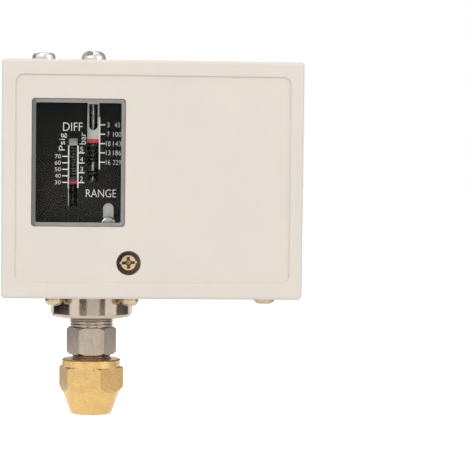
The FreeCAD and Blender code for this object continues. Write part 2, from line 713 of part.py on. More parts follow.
def rear_case():
    """The folded sheet behind the cover: its back, its top and two side flanges."""
    half_w, half_h, fold = REAR_HALF_W, REAR_HALF_H, BEND + SHEET
    outer = rounded(box(-half_w, half_w, REAR_FRONT_Y, 0, -half_h, half_h), fold,
                    lambda e: is_along(e, X_AXIS) and e.BoundBox.YMin > -1e-3 and e.BoundBox.ZMin > 0)
    inner = rounded(box(-half_w - 1, half_w + 1, REAR_FRONT_Y - 1, -SHEET, -half_h - 1, CEILING_Z), BEND,
                    lambda e: is_along(e, X_AXIS) and e.BoundBox.YMin > -SHEET - 1e-3
                    and e.BoundBox.ZMin > 0)
    shell = outer.cut(inner)
    side_half = half_h - SIDE_FLANGE_TRIM
    for side in (-1, 1):
        shell = with_side_flange(shell, side, side_half)
    additions, holes = [], []
    for x, z in corners(MOUNT_SPACING_X, MOUNT_SPACING_Z):
        ring, hole = collar(MOUNT_COLLAR_R, MOUNT_HOLE_R, x, z, MOUNT_COLLAR_LENGTH)
        additions.append(ring)
        holes.append(hole)
    ring, hole = collar(EARTH_COLLAR_R, EARTH_SCREW_R + THREAD_GAP, EARTH_X, EARTH_Z, EARTH_COLLAR_LENGTH)
    additions.append(ring)
    holes.append(hole)
    additions.append(level(PIVOT_R + SPACER_WALL, PIVOT_X, PIVOT_Z, -SHEET - PIVOT_COLLAR_LENGTH, -SHEET))
    holes.append(level(PIVOT_R + THREAD_GAP, PIVOT_X, PIVOT_Z, -SHEET - PIVOT_COLLAR_LENGTH - 1, -SHEET))
    holes.append(level(COVER_SCREW_R + THREAD_GAP, COVER_SCREW_X, COVER_SCREW_Z, -SHEET - 1, 1))
    for x, shaft in ((RANGE_X, RANGE_SCREW_R), (DIFF_X, DIFF_SCREW_R)):
        holes.append(upright(shaft + BUSH_WALL + THREAD_GAP, x, AXIS_Y, CEILING_Z - 1, half_h + 1))
    return joined(shell, *additions).cut(holes)


def case_floor():
    """The case's bottom sheet, with a flange turned up against the back."""
    half_w, low, high, fold = REAR_HALF_W, -REAR_HALF_H, FLOOR_Z + FLOOR_FLANGE, BEND + SHEET
    sheet = box(-half_w, half_w, REAR_FRONT_Y, -SHEET - fold, low, FLOOR_Z)
    inset = half_w - fold - BEND_RELIEF
    corner = rounded(box(-inset, inset, -2 * SHEET - fold, -SHEET, low, high), fold,
                     lambda e: is_along(e, X_AXIS) and e.BoundBox.YMin > -SHEET - 1e-3
                     and e.BoundBox.ZMax < low + 1e-3)
    inside = rounded(box(-inset - 1, inset + 1, -3 * SHEET - fold, -2 * SHEET, FLOOR_Z, high + 1), BEND,
                     lambda e: is_along(e, X_AXIS) and e.BoundBox.YMin > -2 * SHEET - 1e-3
                     and e.BoundBox.ZMax < FLOOR_Z + 1e-3)
    holes = [upright(CABLE_HOLE_R, CABLE_X, CABLE_Y, low - 1, FLOOR_Z + 1),
             upright(BRACKET_SCREW_R + HOLE_GAP, BRACKET_SCREW_X, ARM_MID_Y, low - 1, FLOOR_Z + 1),
             upright(GUIDE_R + HOLE_GAP, RANGE_X, AXIS_Y, low - 1, FLOOR_Z + 1)]
    for x, y in corners(ELEMENT_SCREW_SPACING, ELEMENT_SCREW_SPACING, RANGE_X, AXIS_Y):
        holes.append(upright(ELEMENT_SCREW_R + HOLE_GAP, x, y, low - 1, FLOOR_Z + 1))
    return joined(sheet, corner.cut(inside)).cut(holes)


def cable_grommet():
    lip = CABLE_HOLE_R + GROMMET_LIP
    low = -REAR_HALF_H - GROMMET_OUTER_THICK
    high = FLOOR_Z + GROMMET_INNER_THICK
    waist = CABLE_HOLE_R - THREAD_GAP
    profile = [(GROMMET_BORE_R, low), (lip - GROMMET_CHAMFER, low), (lip, low + GROMMET_CHAMFER),
               (lip, -REAR_HALF_H), (waist, -REAR_HALF_H), (waist, FLOOR_Z), (lip, FLOOR_Z),
               (lip - GROMMET_CHAMFER, high), (GROMMET_BORE_R, high)]
    return turned(profile, CABLE_X, CABLE_Y)


def mechanism_frame():
    front, back = FRAME_FRONT_Y, FRAME_BACK_Y
    plate = box(FRAME_LEFT, FRAME_RIGHT, front, back, FRAME_BOTTOM, CEILING_Z)
    top = box(FRAME_LEFT, FRAME_RIGHT, front, AXIS_Y + FRAME_TOP_REACH, CEILING_Z - FRAME_SHEET, CEILING_Z)
    left_leg = box(FRAME_LEFT, FRAME_LEFT + LEG_LEFT_WIDTH, front, back, FLOOR_Z, FRAME_BOTTOM)
    right_leg = box(FRAME_RIGHT - LEG_RIGHT_WIDTH, FRAME_RIGHT, front, back, FLOOR_Z, FRAME_BOTTOM)
    left_foot = box(FRAME_LEFT, FRAME_LEFT + FOOT_LEFT_REACH, front, front + FOOT_DEPTH,
                    FLOOR_Z, FLOOR_Z + FRAME_SHEET)
    right_foot = box(FRAME_RIGHT - FOOT_RIGHT_REACH, FRAME_RIGHT, front, front + FOOT_DEPTH,
                     FLOOR_Z, FLOOR_Z + FRAME_SHEET)
    tab_left, tab_right = DIFF_SLOT_X - TAB_LEFT, DIFF_SLOT_X + TAB_RIGHT
    tab = box(tab_left, tab_right, front, back + TAB_LENGTH, TAB_Z, TAB_Z + FRAME_SHEET)
    rails = []
    for side in (-1, 1):
        x0 = RANGE_X + side * (RANGE_POINTER_HALF + POINTER_GAP)
        rails.append(box(*sorted((x0, x0 + side * RAIL_SHEET)), front, back + RAIL_DEPTH, RAIL_BOTTOM,
                         SCALE_TOP))
    body = joined(plate, top, left_leg, right_leg, left_foot, right_foot, tab, *rails)
    range_half = RANGE_SLOT_HALF + FRAME_SLOT_MARGIN
    holes = [
        box(RANGE_X - range_half, RANGE_X + range_half, front - 1, back,
            RANGE_SLOT_BOTTOM - FRAME_SLOT_MARGIN, RANGE_SLOT_TOP - RANGE_SLOT_BAR),
        box(tab_left - TAB_SIDE_GAP, tab_right + TAB_SIDE_GAP, front - 1, back,
            DIFF_SLOT_BOTTOM - FRAME_SLOT_MARGIN, TAB_Z),
        upright(STEM_HEAD_R + TAB_SIDE_GAP, DIFF_SLOT_X, DIFF_SPRING_Y, TAB_Z - 1, TAB_Z + FRAME_SHEET + 1),
        level(PIVOT_R + THREAD_GAP, PIVOT_X, PIVOT_Z, front - 1, back + 1),
        level(PLATE_SCREW_R + THREAD_GAP, NOTCH_X, PLATE_SCREW_Z, front - 1, back + 1),
        level(PLATE_SCREW_R + THREAD_GAP, DIFF_X, PLATE_SCREW_TOP_Z, front - 1, back + 1),
        level(COVER_SCREW_RECESS_R + COVER_SCREW_BOSS_WALL + FRAME_BOSS_GAP, COVER_SCREW_X, COVER_SCREW_Z,
              front - 1, back + 1),
    ]
    for x, shaft in ((RANGE_X, RANGE_SCREW_R), (DIFF_X, DIFF_SCREW_R)):
        holes.append(upright(shaft + BUSH_WALL + THREAD_GAP, x, AXIS_Y, CEILING_Z - FRAME_SHEET - 1,
                             CEILING_Z + 1))
    for x, y in corners(ELEMENT_SCREW_SPACING, ELEMENT_SCREW_SPACING, RANGE_X, AXIS_Y):
        holes.append(upright(ELEMENT_SCREW_R + THREAD_GAP, x, y, FLOOR_Z - 1, FLOOR_Z + FRAME_SHEET + 1))
    return body.cut(holes)


def scale_plate():
    front, back = SCALE_FRONT_Y, FRAME_FRONT_Y
    plate = box(RANGE_X - SCALE_LEFT_REACH, RANGE_X + SCALE_RIGHT_REACH, front, back, SCALE_BOTTOM, SCALE_TOP)
    notch_round = NOTCH_TOP - NOTCH_HALF
    cutters = [
        box(RANGE_X - RANGE_SLOT_HALF, RANGE_X + RANGE_SLOT_HALF, front - 1, back + 1,
            RANGE_SLOT_BOTTOM, RANGE_SLOT_TOP),
        box(DIFF_SLOT_X - DIFF_SLOT_HALF, DIFF_SLOT_X + DIFF_SLOT_HALF, front - 1, back + 1,
            DIFF_SLOT_BOTTOM, DIFF_SLOT_TOP),
        box(NOTCH_X - NOTCH_HALF, NOTCH_X + NOTCH_HALF, front - 1, back + 1, SCALE_BOTTOM - 1, notch_round),
        level(NOTCH_HALF, NOTCH_X, notch_round, front - 1, back + 1),
        level(PLATE_SCREW_R + HOLE_GAP, DIFF_X, PLATE_SCREW_TOP_Z, front - 1, back + 1),
    ]
    return plate.cut(cutters)


def scale_plate_screws():
    body = screw(PLATE_SCREW_R, PLATE_SCREW_LENGTH, PLATE_SCREW_HEAD_R, PLATE_SCREW_HEAD_H,
                 PLATE_SCREW_DOME)
    body = body.cut(slot_drive(PLATE_SCREW_HEAD_R, PLATE_SCREW_HEAD_H, PLATE_SCREW_SLOT, PLATE_SCREW_SLOT,
                               PLATE_SCREW_TURN))
    places = ((NOTCH_X, PLATE_SCREW_Z), (DIFF_X, PLATE_SCREW_TOP_Z))
    return Part.makeCompound([placed(body, x, SCALE_FRONT_Y, z, -Y_AXIS) for x, z in places])


def spindle_bush(x, shaft):
    """A flanged bush through the case top and the frame's top flange."""
    low = CEILING_Z - FRAME_SHEET - BUSH_TAIL
    body = joined(upright(BUSH_FLANGE_R, x, AXIS_Y, REAR_HALF_H, REAR_HALF_H + BUSH_FLANGE_H),
                  upright(shaft + BUSH_WALL, x, AXIS_Y, low, REAR_HALF_H))
    return body.cut(upright(shaft + RUN_GAP, x, AXIS_Y, low - 1, REAR_HALF_H + BUSH_FLANGE_H + 1))


def spindle(x, shaft, end_z, washer_h, head):
    """An adjusting screw with a groove for its clip; head is radius, height, dome and turn of its slot."""
    head_r, head_h, dome, turn = head
    seat = REAR_HALF_H + BUSH_FLANGE_H + washer_h
    body = screw(shaft, seat - end_z, head_r, head_h, dome)
    body = body.cut(slot_drive(head_r, head_h, DRIVE_SLOT, DRIVE_DEPTH, turn))
    body = body.translated(V(x, AXIS_Y, seat))
    groove = clip_ring(x, shaft - CLIP_GROOVE, shaft + 1, CLIP_THICK + CLIP_GROOVE_PLAY)
    return body.cut(groove)


def clip_ring(x, bore, outer, thick):
    """A flat ring just below the bush."""
    high = CEILING_Z - FRAME_SHEET - BUSH_TAIL - CLIP_GAP
    ring = upright(outer, x, AXIS_Y, high - thick, high)
    return ring.cut(upright(bore, x, AXIS_Y, high - thick - 1, high + 1))


def spindle_clip(x, shaft):
    """An open retaining clip in the groove of an adjusting screw."""
    bore = shaft - CLIP_GROOVE + THREAD_GAP
    ring = clip_ring(x, bore, shaft + CLIP_WIDTH, CLIP_THICK)
    half = bore * CLIP_MOUTH
    return ring.cut(box(x - half, x + half, AXIS_Y, AXIS_Y + shaft + CLIP_WIDTH + 1, FLOOR_Z, CEILING_Z))


def spindle_washer(x, shaft, washer_h):
    base = REAR_HALF_H + BUSH_FLANGE_H
    ring = upright(BUSH_FLANGE_R, x, AXIS_Y, base, base + washer_h)
    return ring.cut(upright(shaft + HOLE_GAP, x, AXIS_Y, base - 1, base + washer_h + 1))


def range_seat():
    top = SEAT_Z + SEAT_THICK
    body = joined(upright(SEAT_R, RANGE_X, AXIS_Y, SEAT_Z, top),
                  upright(SEAT_SPIGOT_R, RANGE_X, AXIS_Y, SEAT_Z - SEAT_SPIGOT_H, SEAT_Z),
                  upright(SEAT_HUB_R, RANGE_X, AXIS_Y, top, top + SEAT_HUB_H))
    return body.cut(upright(RANGE_SCREW_R + RUN_GAP, RANGE_X, AXIS_Y, SEAT_Z - SEAT_SPIGOT_H - 1,
                            top + SEAT_HUB_H + 1))


def range_pointer():
    base = SEAT_Z + SEAT_THICK
    tongue = box(RANGE_X - RANGE_POINTER_HALF, RANGE_X + RANGE_POINTER_HALF, POINTER_FRONT_Y, AXIS_Y,
                 base, base + POINTER_SHEET)
    ring = upright(SEAT_HUB_R + POINTER_RING_WALL, RANGE_X, AXIS_Y, base, base + POINTER_SHEET)
    strip = box(RANGE_X - RANGE_POINTER_HALF, RANGE_X + RANGE_POINTER_HALF, POINTER_FRONT_Y, POINTER_BACK_Y,
                RANGE_POINTER_BOTTOM, RANGE_POINTER_TOP)
    slot_round = POINTER_SLOT_BOTTOM + POINTER_SLOT_HALF
    slot = joined(box(RANGE_X - POINTER_SLOT_HALF, RANGE_X + POINTER_SLOT_HALF, POINTER_FRONT_Y - 1,
                      POINTER_BACK_Y + 1, slot_round, RANGE_POINTER_TOP + 1),
                  level(POINTER_SLOT_HALF, RANGE_X, slot_round, POINTER_FRONT_Y - 1, POINTER_BACK_Y + 1))
    hub_hole = upright(SEAT_HUB_R + THREAD_GAP, RANGE_X, AXIS_Y, base - 1, base + POINTER_SHEET + 1)
    return joined(tongue, ring, strip).cut([slot, hub_hole])


def diff_seat():
    top = DIFF_ARM_Z
    low = top - DIFF_ARM_THICK
    left, right = DIFF_X - DIFF_NUT_R, DIFF_SLOT_X + DIFF_ARM_END
    front = POINTER_BACK_Y + DIFF_ARM_GAP
    side_arm = box(left, DIFF_X + DIFF_NUT_R, front, AXIS_Y + DIFF_NUT_R, low, top)
    front_arm = box(left, right, front, front + DIFF_ARM_WIDTH, low, top)
    nut = upright(DIFF_NUT_R, DIFF_X, AXIS_Y, top, top + DIFF_NUT_H)
    bore = upright(DIFF_SCREW_R + RUN_GAP, DIFF_X, AXIS_Y, low - 1, top + DIFF_NUT_H + 1)
    stem_hole = upright(STEM_R + STEM_HOLE_GAP, DIFF_SLOT_X, DIFF_SPRING_Y, low - 1, top + 1)
    return joined(side_arm, front_arm, nut).cut([bore, stem_hole])


def diff_pointer():
    top = DIFF_ARM_Z - DIFF_ARM_THICK
    low = top - POINTER_SHEET
    x0, x1 = DIFF_SLOT_X - DIFF_POINTER_HALF, DIFF_SLOT_X + DIFF_POINTER_HALF
    foot = box(x0, x1, POINTER_FRONT_Y, DIFF_SPRING_Y + DIFF_POINTER_HALF, low, top)
    strip = box(x0, x1, POINTER_FRONT_Y, POINTER_BACK_Y, low, DIFF_SLOT_TOP)
    window = box(DIFF_SLOT_X - DIFF_WINDOW_HALF, DIFF_SLOT_X + DIFF_WINDOW_HALF, POINTER_FRONT_Y - 1,
                 POINTER_BACK_Y + 1, DIFF_ARM_Z - DIFF_WINDOW_SILL, DIFF_SLOT_TOP - DIFF_WINDOW_HEAD)
    stem_hole = upright(STEM_R + STEM_HOLE_GAP, DIFF_SLOT_X, DIFF_SPRING_Y, low - 1, top + 1)
    return joined(foot, strip).cut([window, stem_hole])


def diff_stem():
    head_z = TAB_Z + THREAD_GAP
    collar_top = LEVER_UNDER_Z - STEM_GAP
    low = collar_top - STEM_COLLAR_H - STEM_TIP
    return joined(upright(STEM_R, DIFF_SLOT_X, DIFF_SPRING_Y, low, head_z),
                  upright(STEM_HEAD_R, DIFF_SLOT_X, DIFF_SPRING_Y, head_z, head_z + STEM_HEAD_H),
                  upright(STEM_COLLAR_R, DIFF_SLOT_X, DIFF_SPRING_Y, collar_top - STEM_COLLAR_H,
                          collar_top))


def diff_spring_washer():
    ring = upright(STEM_WASHER_R, DIFF_SLOT_X, DIFF_SPRING_Y, TAB_Z - STEM_WASHER_H, TAB_Z)
    return ring.cut(upright(STEM_R + STEM_WASHER_GAP, DIFF_SLOT_X, DIFF_SPRING_Y, TAB_Z - 1, TAB_Z + 1))


def main_lever():
    front, back = AXIS_Y - LEVER_HALF_WIDTH, AXIS_Y + LEVER_HALF_WIDTH
    top = box(LEVER_LEFT, LEVER_RIGHT, front, back, LEVER_UNDER_Z, LEVER_TOP_Z)
    end_z, mid_z = LEVER_TOP_Z - LEVER_CHEEK_END, LEVER_TOP_Z - LEVER_CHEEK_MID
    outline = [(LEVER_LEFT, LEVER_TOP_Z), (LEVER_RIGHT, LEVER_TOP_Z), (LEVER_RIGHT, end_z),
               (PIVOT_X + LEVER_CHEEK_RIGHT, mid_z), (PIVOT_X - LEVER_CHEEK_LEFT, mid_z),
               (LEVER_LEFT, end_z)]
    cheeks = [sheet_xz(outline, front, front + LEVER_SHEET), sheet_xz(outline, back - LEVER_SHEET, back)]
    ear = box(DIFF_SLOT_X - LEVER_EAR_HALF, DIFF_SLOT_X + LEVER_EAR_HALF, DIFF_SPRING_Y - LEVER_EAR_REACH,
              front + LEVER_SHEET, LEVER_UNDER_Z, LEVER_TOP_Z)
    holes = [level(PIVOT_R + RUN_GAP, PIVOT_X, PIVOT_Z, front - 1, back + 1),
             upright(STEM_R + STEM_GAP, DIFF_SLOT_X, DIFF_SPRING_Y, LEVER_UNDER_Z - 1, LEVER_TOP_Z + 1)]
    return joined(top, ear, *cheeks).cut(holes)


def lever_spring_seat():
    base = LEVER_TOP_Z
    return joined(upright(LEVER_SEAT_R, RANGE_X, AXIS_Y, base, base + LEVER_SEAT_H),
                  upright(SEAT_SPIGOT_R, RANGE_X, AXIS_Y, base + LEVER_SEAT_H,
                          base + LEVER_SEAT_H + LEVER_SPIGOT_H))


def lever_pin():
    shank = level(PIVOT_R, PIVOT_X, PIVOT_Z, FRAME_FRONT_Y, -SHEET - THREAD_GAP)
    head = level(PIVOT_HEAD_R, PIVOT_X, PIVOT_Z, FRAME_FRONT_Y - PIVOT_HEAD_H, FRAME_FRONT_Y)
    return joined(shank, head)


def lever_spacers():
    """Two tubes on the pin that hold the lever in the middle of its span."""
    front = (FRAME_BACK_Y, AXIS_Y - LEVER_HALF_WIDTH - LEVER_SIDE_GAP)
    back = (AXIS_Y + LEVER_HALF_WIDTH + LEVER_SIDE_GAP, -SHEET - PIVOT_COLLAR_LENGTH)
    tubes = []
    for y0, y1 in (front, back):
        outer = level(PIVOT_R + SPACER_WALL, PIVOT_X, PIVOT_Z, y0, y1)
        tubes.append(outer.cut(level(PIVOT_R + THREAD_GAP, PIVOT_X, PIVOT_Z, y0 - 1, y1 + 1)))
    return Part.makeCompound(tubes)


def element_plate(z0, z1):
    """A square plate of the pressure element with its four screw holes."""
    half = ELEMENT_SIZE / 2
    plate = plate_z(RANGE_X - half, RANGE_X + half, AXIS_Y - half, AXIS_Y + half, z0, z1, ELEMENT_CORNER)
    places = corners(ELEMENT_SCREW_SPACING, ELEMENT_SCREW_SPACING, RANGE_X, AXIS_Y)
    return plate.cut([upright(ELEMENT_SCREW_R + HOLE_GAP, x, y, z0 - 1, z1 + 1) for x, y in places])


def bellows_top_plate():
    body = joined(element_plate(TOP_PLATE_Z, -REAR_HALF_H),
                  upright(GUIDE_R, RANGE_X, AXIS_Y, -REAR_HALF_H, -REAR_HALF_H + GUIDE_LENGTH))
    return body.cut(upright(ROD_R + RUN_GAP, RANGE_X, AXIS_Y, TOP_PLATE_Z - 1, FLOOR_Z + GUIDE_LENGTH))


def bellows_cup():
    cone_r = CUP_R - CUP_SHOULDER
    cone_z = CUP_SHOULDER_Z - CUP_SHOULDER
    outside = turned([(0, TOP_PLATE_Z), (CUP_R, TOP_PLATE_Z), (CUP_R, CUP_SHOULDER_Z),
                      (CUP_R - CUP_SHOULDER + CUP_SHOULDER * CUP_ROUND_SHARE,
                       CUP_SHOULDER_Z - CUP_SHOULDER * CUP_ROUND_SHARE), (cone_r, cone_z),
                      (CUP_NECK_R, CUP_END_Z), (0, CUP_END_Z)], RANGE_X, AXIS_Y)
    inside = turned([(0, TOP_PLATE_Z + 1), (CUP_R - CUP_WALL, TOP_PLATE_Z + 1),
                     (CUP_R - CUP_WALL, CUP_SHOULDER_Z), (cone_r - CUP_WALL / 2, cone_z + CUP_WALL),
                     (CUP_NECK_R, CUP_END_Z + CUP_WALL), (0, CUP_END_Z + CUP_WALL)], RANGE_X, AXIS_Y)
    body = joined(element_plate(CUP_TOP_Z, TOP_PLATE_Z), outside)
    return body.cut([inside, upright(CUP_HOLE_R, RANGE_X, AXIS_Y, CUP_END_Z - 1, TOP_PLATE_Z)])


def bellows():
    high = TOP_PLATE_Z
    low = high - HEAD_DISC_DROP
    step = (high - low) / (2 * BELLOWS_FOLDS)
    radii = [BELLOWS_INNER_R if i % 2 == 0 else BELLOWS_OUTER_R - BELLOWS_WALL
             for i in range(2 * BELLOWS_FOLDS + 1)]
    inner = [(r, low + i * step) for i, r in enumerate(radii)]
    outer = [(r + BELLOWS_WALL, z) for r, z in reversed(inner)]
    return turned(inner + outer, RANGE_X, AXIS_Y)


def push_rod():
    disc_top = TOP_PLATE_Z - HEAD_DISC_DROP
    tip = LEVER_UNDER_Z - ROD_LEVER_GAP
    rod = rounded(upright(ROD_R, RANGE_X, AXIS_Y, disc_top, tip), ROD_DOME,
                  lambda e: e.BoundBox.ZMin > tip - 1e-6)
    return joined(upright(HEAD_DISC_R, RANGE_X, AXIS_Y, disc_top - HEAD_DISC_THICK, disc_top), rod)


def element_screws():
    body = screw(ELEMENT_SCREW_R, ELEMENT_SCREW_LENGTH, ELEMENT_SCREW_HEAD_R, ELEMENT_SCREW_HEAD_H,
                 ELEMENT_SCREW_DOME)
    body = body.cut(cross_drive(ELEMENT_SCREW_HEAD_H, ELEMENT_SCREW_HEAD_R, ELEMENT_SCREW_TURN))
    places = corners(ELEMENT_SCREW_SPACING, ELEMENT_SCREW_SPACING, RANGE_X, AXIS_Y)
    return Part.makeCompound([placed(body, x, y, CUP_TOP_Z, -Z_AXIS) for x, y in places])


def thread_outline(high, low):
    """The stub's side seen in section: one ring of thread for each pitch."""
    outline = [(STUB_R, high)]
    for i in range(int((high - low) / THREAD_PITCH)):
        top = high - i * THREAD_PITCH
        outline += [(STUB_R - THREAD_DEPTH, top - THREAD_PITCH / 2), (STUB_R, top - THREAD_PITCH)]
    return outline + [(STUB_R, low)]


def pressure_connector():
    hex_r = HEX_AF / 2 / math.cos(math.pi / 6)
    out_r, in_r = hex_r + HEX_TRIM, hex_r - HEX_CHAMFER
    trim = turned([(0, HEX_END_Z), (in_r, HEX_END_Z), (out_r, HEX_END_Z + HEX_CHAMFER),
                   (out_r, HEX_TOP_Z - HEX_CHAMFER), (in_r, HEX_TOP_Z), (0, HEX_TOP_Z)], RANGE_X, AXIS_Y)
    nut = hexagon(HEX_AF, RANGE_X, AXIS_Y, HEX_END_Z, HEX_TOP_Z).common(trim)
    neck = []
    for i in range(NECK_RINGS):
        ring_z = CUP_END_Z - i * (NECK_RING_H + NECK_GROOVE_H)
        groove_z = ring_z - NECK_RING_H
        neck += [(NECK_RING_R, ring_z), (NECK_RING_R, groove_z), (NECK_GROOVE_R, groove_z),
                 (NECK_GROOVE_R, groove_z - NECK_GROOVE_H)]
    thread_end = STUB_END_Z + STUB_PLAIN_END
    turning = turned([(0, CUP_END_Z + CUP_WALL), (CUP_HOLE_R - THREAD_GAP, CUP_END_Z + CUP_WALL),
                      (CUP_HOLE_R - THREAD_GAP, CUP_END_Z), *neck, (NECK_GROOVE_R, HEX_END_Z),
                      *thread_outline(HEX_END_Z, thread_end),
                      (FLARE_R, thread_end), (FLARE_R, STUB_END_Z), (FLARE_TIP_R, FLARE_TIP_Z),
                      (0, FLARE_TIP_Z)], RANGE_X, AXIS_Y)
    bore = upright(CONNECTOR_BORE_R, RANGE_X, AXIS_Y, FLARE_TIP_Z - 1, CUP_TOP_Z)
    return joined(nut, turning).cut(bore)


def flare_bonnet():
    """A copper cone between the connector's tip and the nut's seat."""
    top = STUB_END_Z - BONNET_GAP
    tip = FLARE_TIP_Z - BONNET_GAP
    foot_r = TUBE_BORE_R - 2 * BONNET_GAP
    foot = top - BONNET_WALL - (FLARE_R - foot_r)
    return turned([(FLARE_R, top), (FLARE_TIP_R, tip), (BONNET_HOLE_R, tip), (BONNET_HOLE_R, foot),
                   (foot_r, foot), (FLARE_R, top - BONNET_WALL)], RANGE_X, AXIS_Y)


def flare_nut():
    corner_r = NUT_AF / 2 / math.cos(math.pi / 6) + HEX_TRIM
    body = hexagon(NUT_AF, RANGE_X, AXIS_Y, NUT_END_Z, NUT_TOP_Z, NUT_TURN)
    outline = turned([(0, NUT_END_Z), (NUT_CONE_END_R - NUT_END_CHAMFER, NUT_END_Z),
                      (NUT_CONE_END_R, NUT_END_Z + NUT_END_CHAMFER), (NUT_CONE_TOP_R, NUT_CONE_Z),
                      (corner_r, NUT_BEVEL_Z), (corner_r, NUT_HEX_Z - NUT_TOP_BEVEL_H),
                      (corner_r - NUT_TOP_BEVEL, NUT_HEX_Z), (0, NUT_HEX_Z)], RANGE_X, AXIS_Y)
    edge = NUT_COLLAR_EDGE
    ring = turned([(0, NUT_HEX_Z), (NUT_COLLAR_R, NUT_HEX_Z), (NUT_COLLAR_R, NUT_TOP_Z - edge),
                   (NUT_COLLAR_R - edge, NUT_TOP_Z), (0, NUT_TOP_Z)], RANGE_X, AXIS_Y)
    thread_r = STUB_R + NUT_THREAD_GAP
    seat_z = STUB_END_Z - BONNET_GAP - BONNET_WALL - BONNET_SEAT_GAP + (thread_r - FLARE_R)
    cavity = turned([(0, NUT_TOP_Z + 1), (thread_r, NUT_TOP_Z + 1), (thread_r, seat_z),
                     (TUBE_BORE_R, seat_z - (thread_r - TUBE_BORE_R)), (TUBE_BORE_R, NUT_END_Z - 1),
                     (0, NUT_END_Z - 1)], RANGE_X, AXIS_Y)
    return joined(body.common(outline), ring).cut(cavity)


def switch_base():
    block = plate_y(SWITCH_LEFT, SWITCH_RIGHT, SWITCH_FRONT_Y, SWITCH_BACK_Y - BRACKET_SHEET,
                    SWITCH_MID_Z - SWITCH_HALF_HEIGHT, SWITCH_MID_Z + SWITCH_HALF_HEIGHT, SWITCH_CORNER)
    back = SWITCH_BACK_Y - BRACKET_SHEET - SWITCH_WALL
    cavity = box(SWITCH_LEFT - 1, SWITCH_LEFT + CAVITY_WIDTH, SWITCH_FRONT_Y + SWITCH_WALL, back,
                 ARM_PIVOT_Z - CAVITY_BELOW, ARM_PIVOT_Z + CAVITY_ABOVE)
    holes = [cavity, level(ARM_PIN_R + PIN_GAP, ARM_PIVOT_X, ARM_PIVOT_Z, SWITCH_FRONT_Y - 1, 0)]
    x0, x1 = contact_strip_limits()
    for z0 in (UPPER_STRIP_Z, LOWER_STRIP_Z):
        holes.append(box(x0 - THREAD_GAP, x1 + THREAD_GAP, SWITCH_FRONT_Y - 1,
                         SWITCH_FRONT_Y + SWITCH_WALL + 1, z0 - THREAD_GAP, z0 + TERMINAL_STRIP + THREAD_GAP))
    for z in TERMINAL_LEVELS:
        holes.append(level(TERMINAL_SCREW_R + THREAD_GAP, TERMINAL_X, z, SWITCH_FRONT_Y - 1,
                           SWITCH_FRONT_Y + TERMINAL_SCREW_LENGTH))
    for x, z in rivet_places():
        holes.append(level(RIVET_R + THREAD_GAP, x, z, SWITCH_BACK_Y - BRACKET_SHEET - RIVET_GRIP, 0))
    return block.cut(holes)


def contact_strip_limits():
    return CONTACT_X - CONTACT_R, CONTACT_X + CONTACT_R


def rivet_places():
    reach = SWITCH_HALF_HEIGHT - RIVET_INSET_Z
    return [(BRACKET_LEFT + RIVET_INSET_X, SWITCH_MID_Z + reach),
            (SWITCH_RIGHT - RIVET_INSET_X, SWITCH_MID_Z - reach)]


def fixed_contact(strip_z, button_z0, button_z1):
    """The strip that reaches into the cavity and its contact button."""
    x0, x1 = contact_strip_limits()
    reach = ARM_MID_Y + FIXED_CONTACT_R
    strip = box(x0, x1, TERMINAL_FRONT_Y, reach, strip_z, strip_z + TERMINAL_STRIP)
    button = upright(FIXED_CONTACT_R, CONTACT_X, ARM_MID_Y, button_z0, button_z1)
    return [strip, button]


def terminal_plate(z, left):
    """A terminal's face plate, from its leg to the right of its screw."""
    plate = box(left, TERMINAL_X + TERMINAL_HALF, TERMINAL_FRONT_Y, SWITCH_FRONT_Y, z - TERMINAL_HALF,
                z + TERMINAL_HALF)
    hole = level(TERMINAL_SCREW_R + HOLE_GAP, TERMINAL_X, z, TERMINAL_FRONT_Y - 1, SWITCH_FRONT_Y + 1)
    return plate.cut(hole)


def upper_terminal():
    leg = box(TERMINAL_LEG_LEFT, TERMINAL_LEG_LEFT + TERMINAL_LEG_WIDTH, TERMINAL_FRONT_Y, SWITCH_FRONT_Y,
              UPPER_STRIP_Z, TERMINAL_LEVELS[2])
    return joined(terminal_plate(TERMINAL_LEVELS[2], TERMINAL_LEG_LEFT), leg,
                  *fixed_contact(UPPER_STRIP_Z, UPPER_CONTACT_Z, UPPER_STRIP_Z))


def lower_terminal():
    leg = box(TERMINAL_LEG_LEFT, TERMINAL_LEG_LEFT + TERMINAL_LEG_WIDTH, TERMINAL_FRONT_Y, SWITCH_FRONT_Y,
              TERMINAL_LEVELS[0], LOWER_STRIP_Z + TERMINAL_STRIP)
    return joined(terminal_plate(TERMINAL_LEVELS[0], TERMINAL_LEG_LEFT), leg,
                  *fixed_contact(LOWER_STRIP_Z, LOWER_CONTACT_Z - FIXED_CONTACT_H, LOWER_CONTACT_Z))


def common_terminal():
    leg_half = ARM_PIN_R + COMMON_LEG_WALL
    leg = box(ARM_PIVOT_X - leg_half, ARM_PIVOT_X + leg_half, TERMINAL_FRONT_Y, SWITCH_FRONT_Y,
              ARM_PIVOT_Z - leg_half + COMMON_LEG_TRIM, TERMINAL_LEVELS[1])
    hole = level(ARM_PIN_R + PIN_GAP, ARM_PIVOT_X, ARM_PIVOT_Z, TERMINAL_FRONT_Y - 1, SWITCH_FRONT_Y + 1)
    return joined(terminal_plate(TERMINAL_LEVELS[1], ARM_PIVOT_X - leg_half), leg).cut(hole)


def contact_pin():
    return level(ARM_PIN_R, ARM_PIVOT_X, ARM_PIVOT_Z, TERMINAL_FRONT_Y,
                 SWITCH_BACK_Y - BRACKET_SHEET - THREAD_GAP)


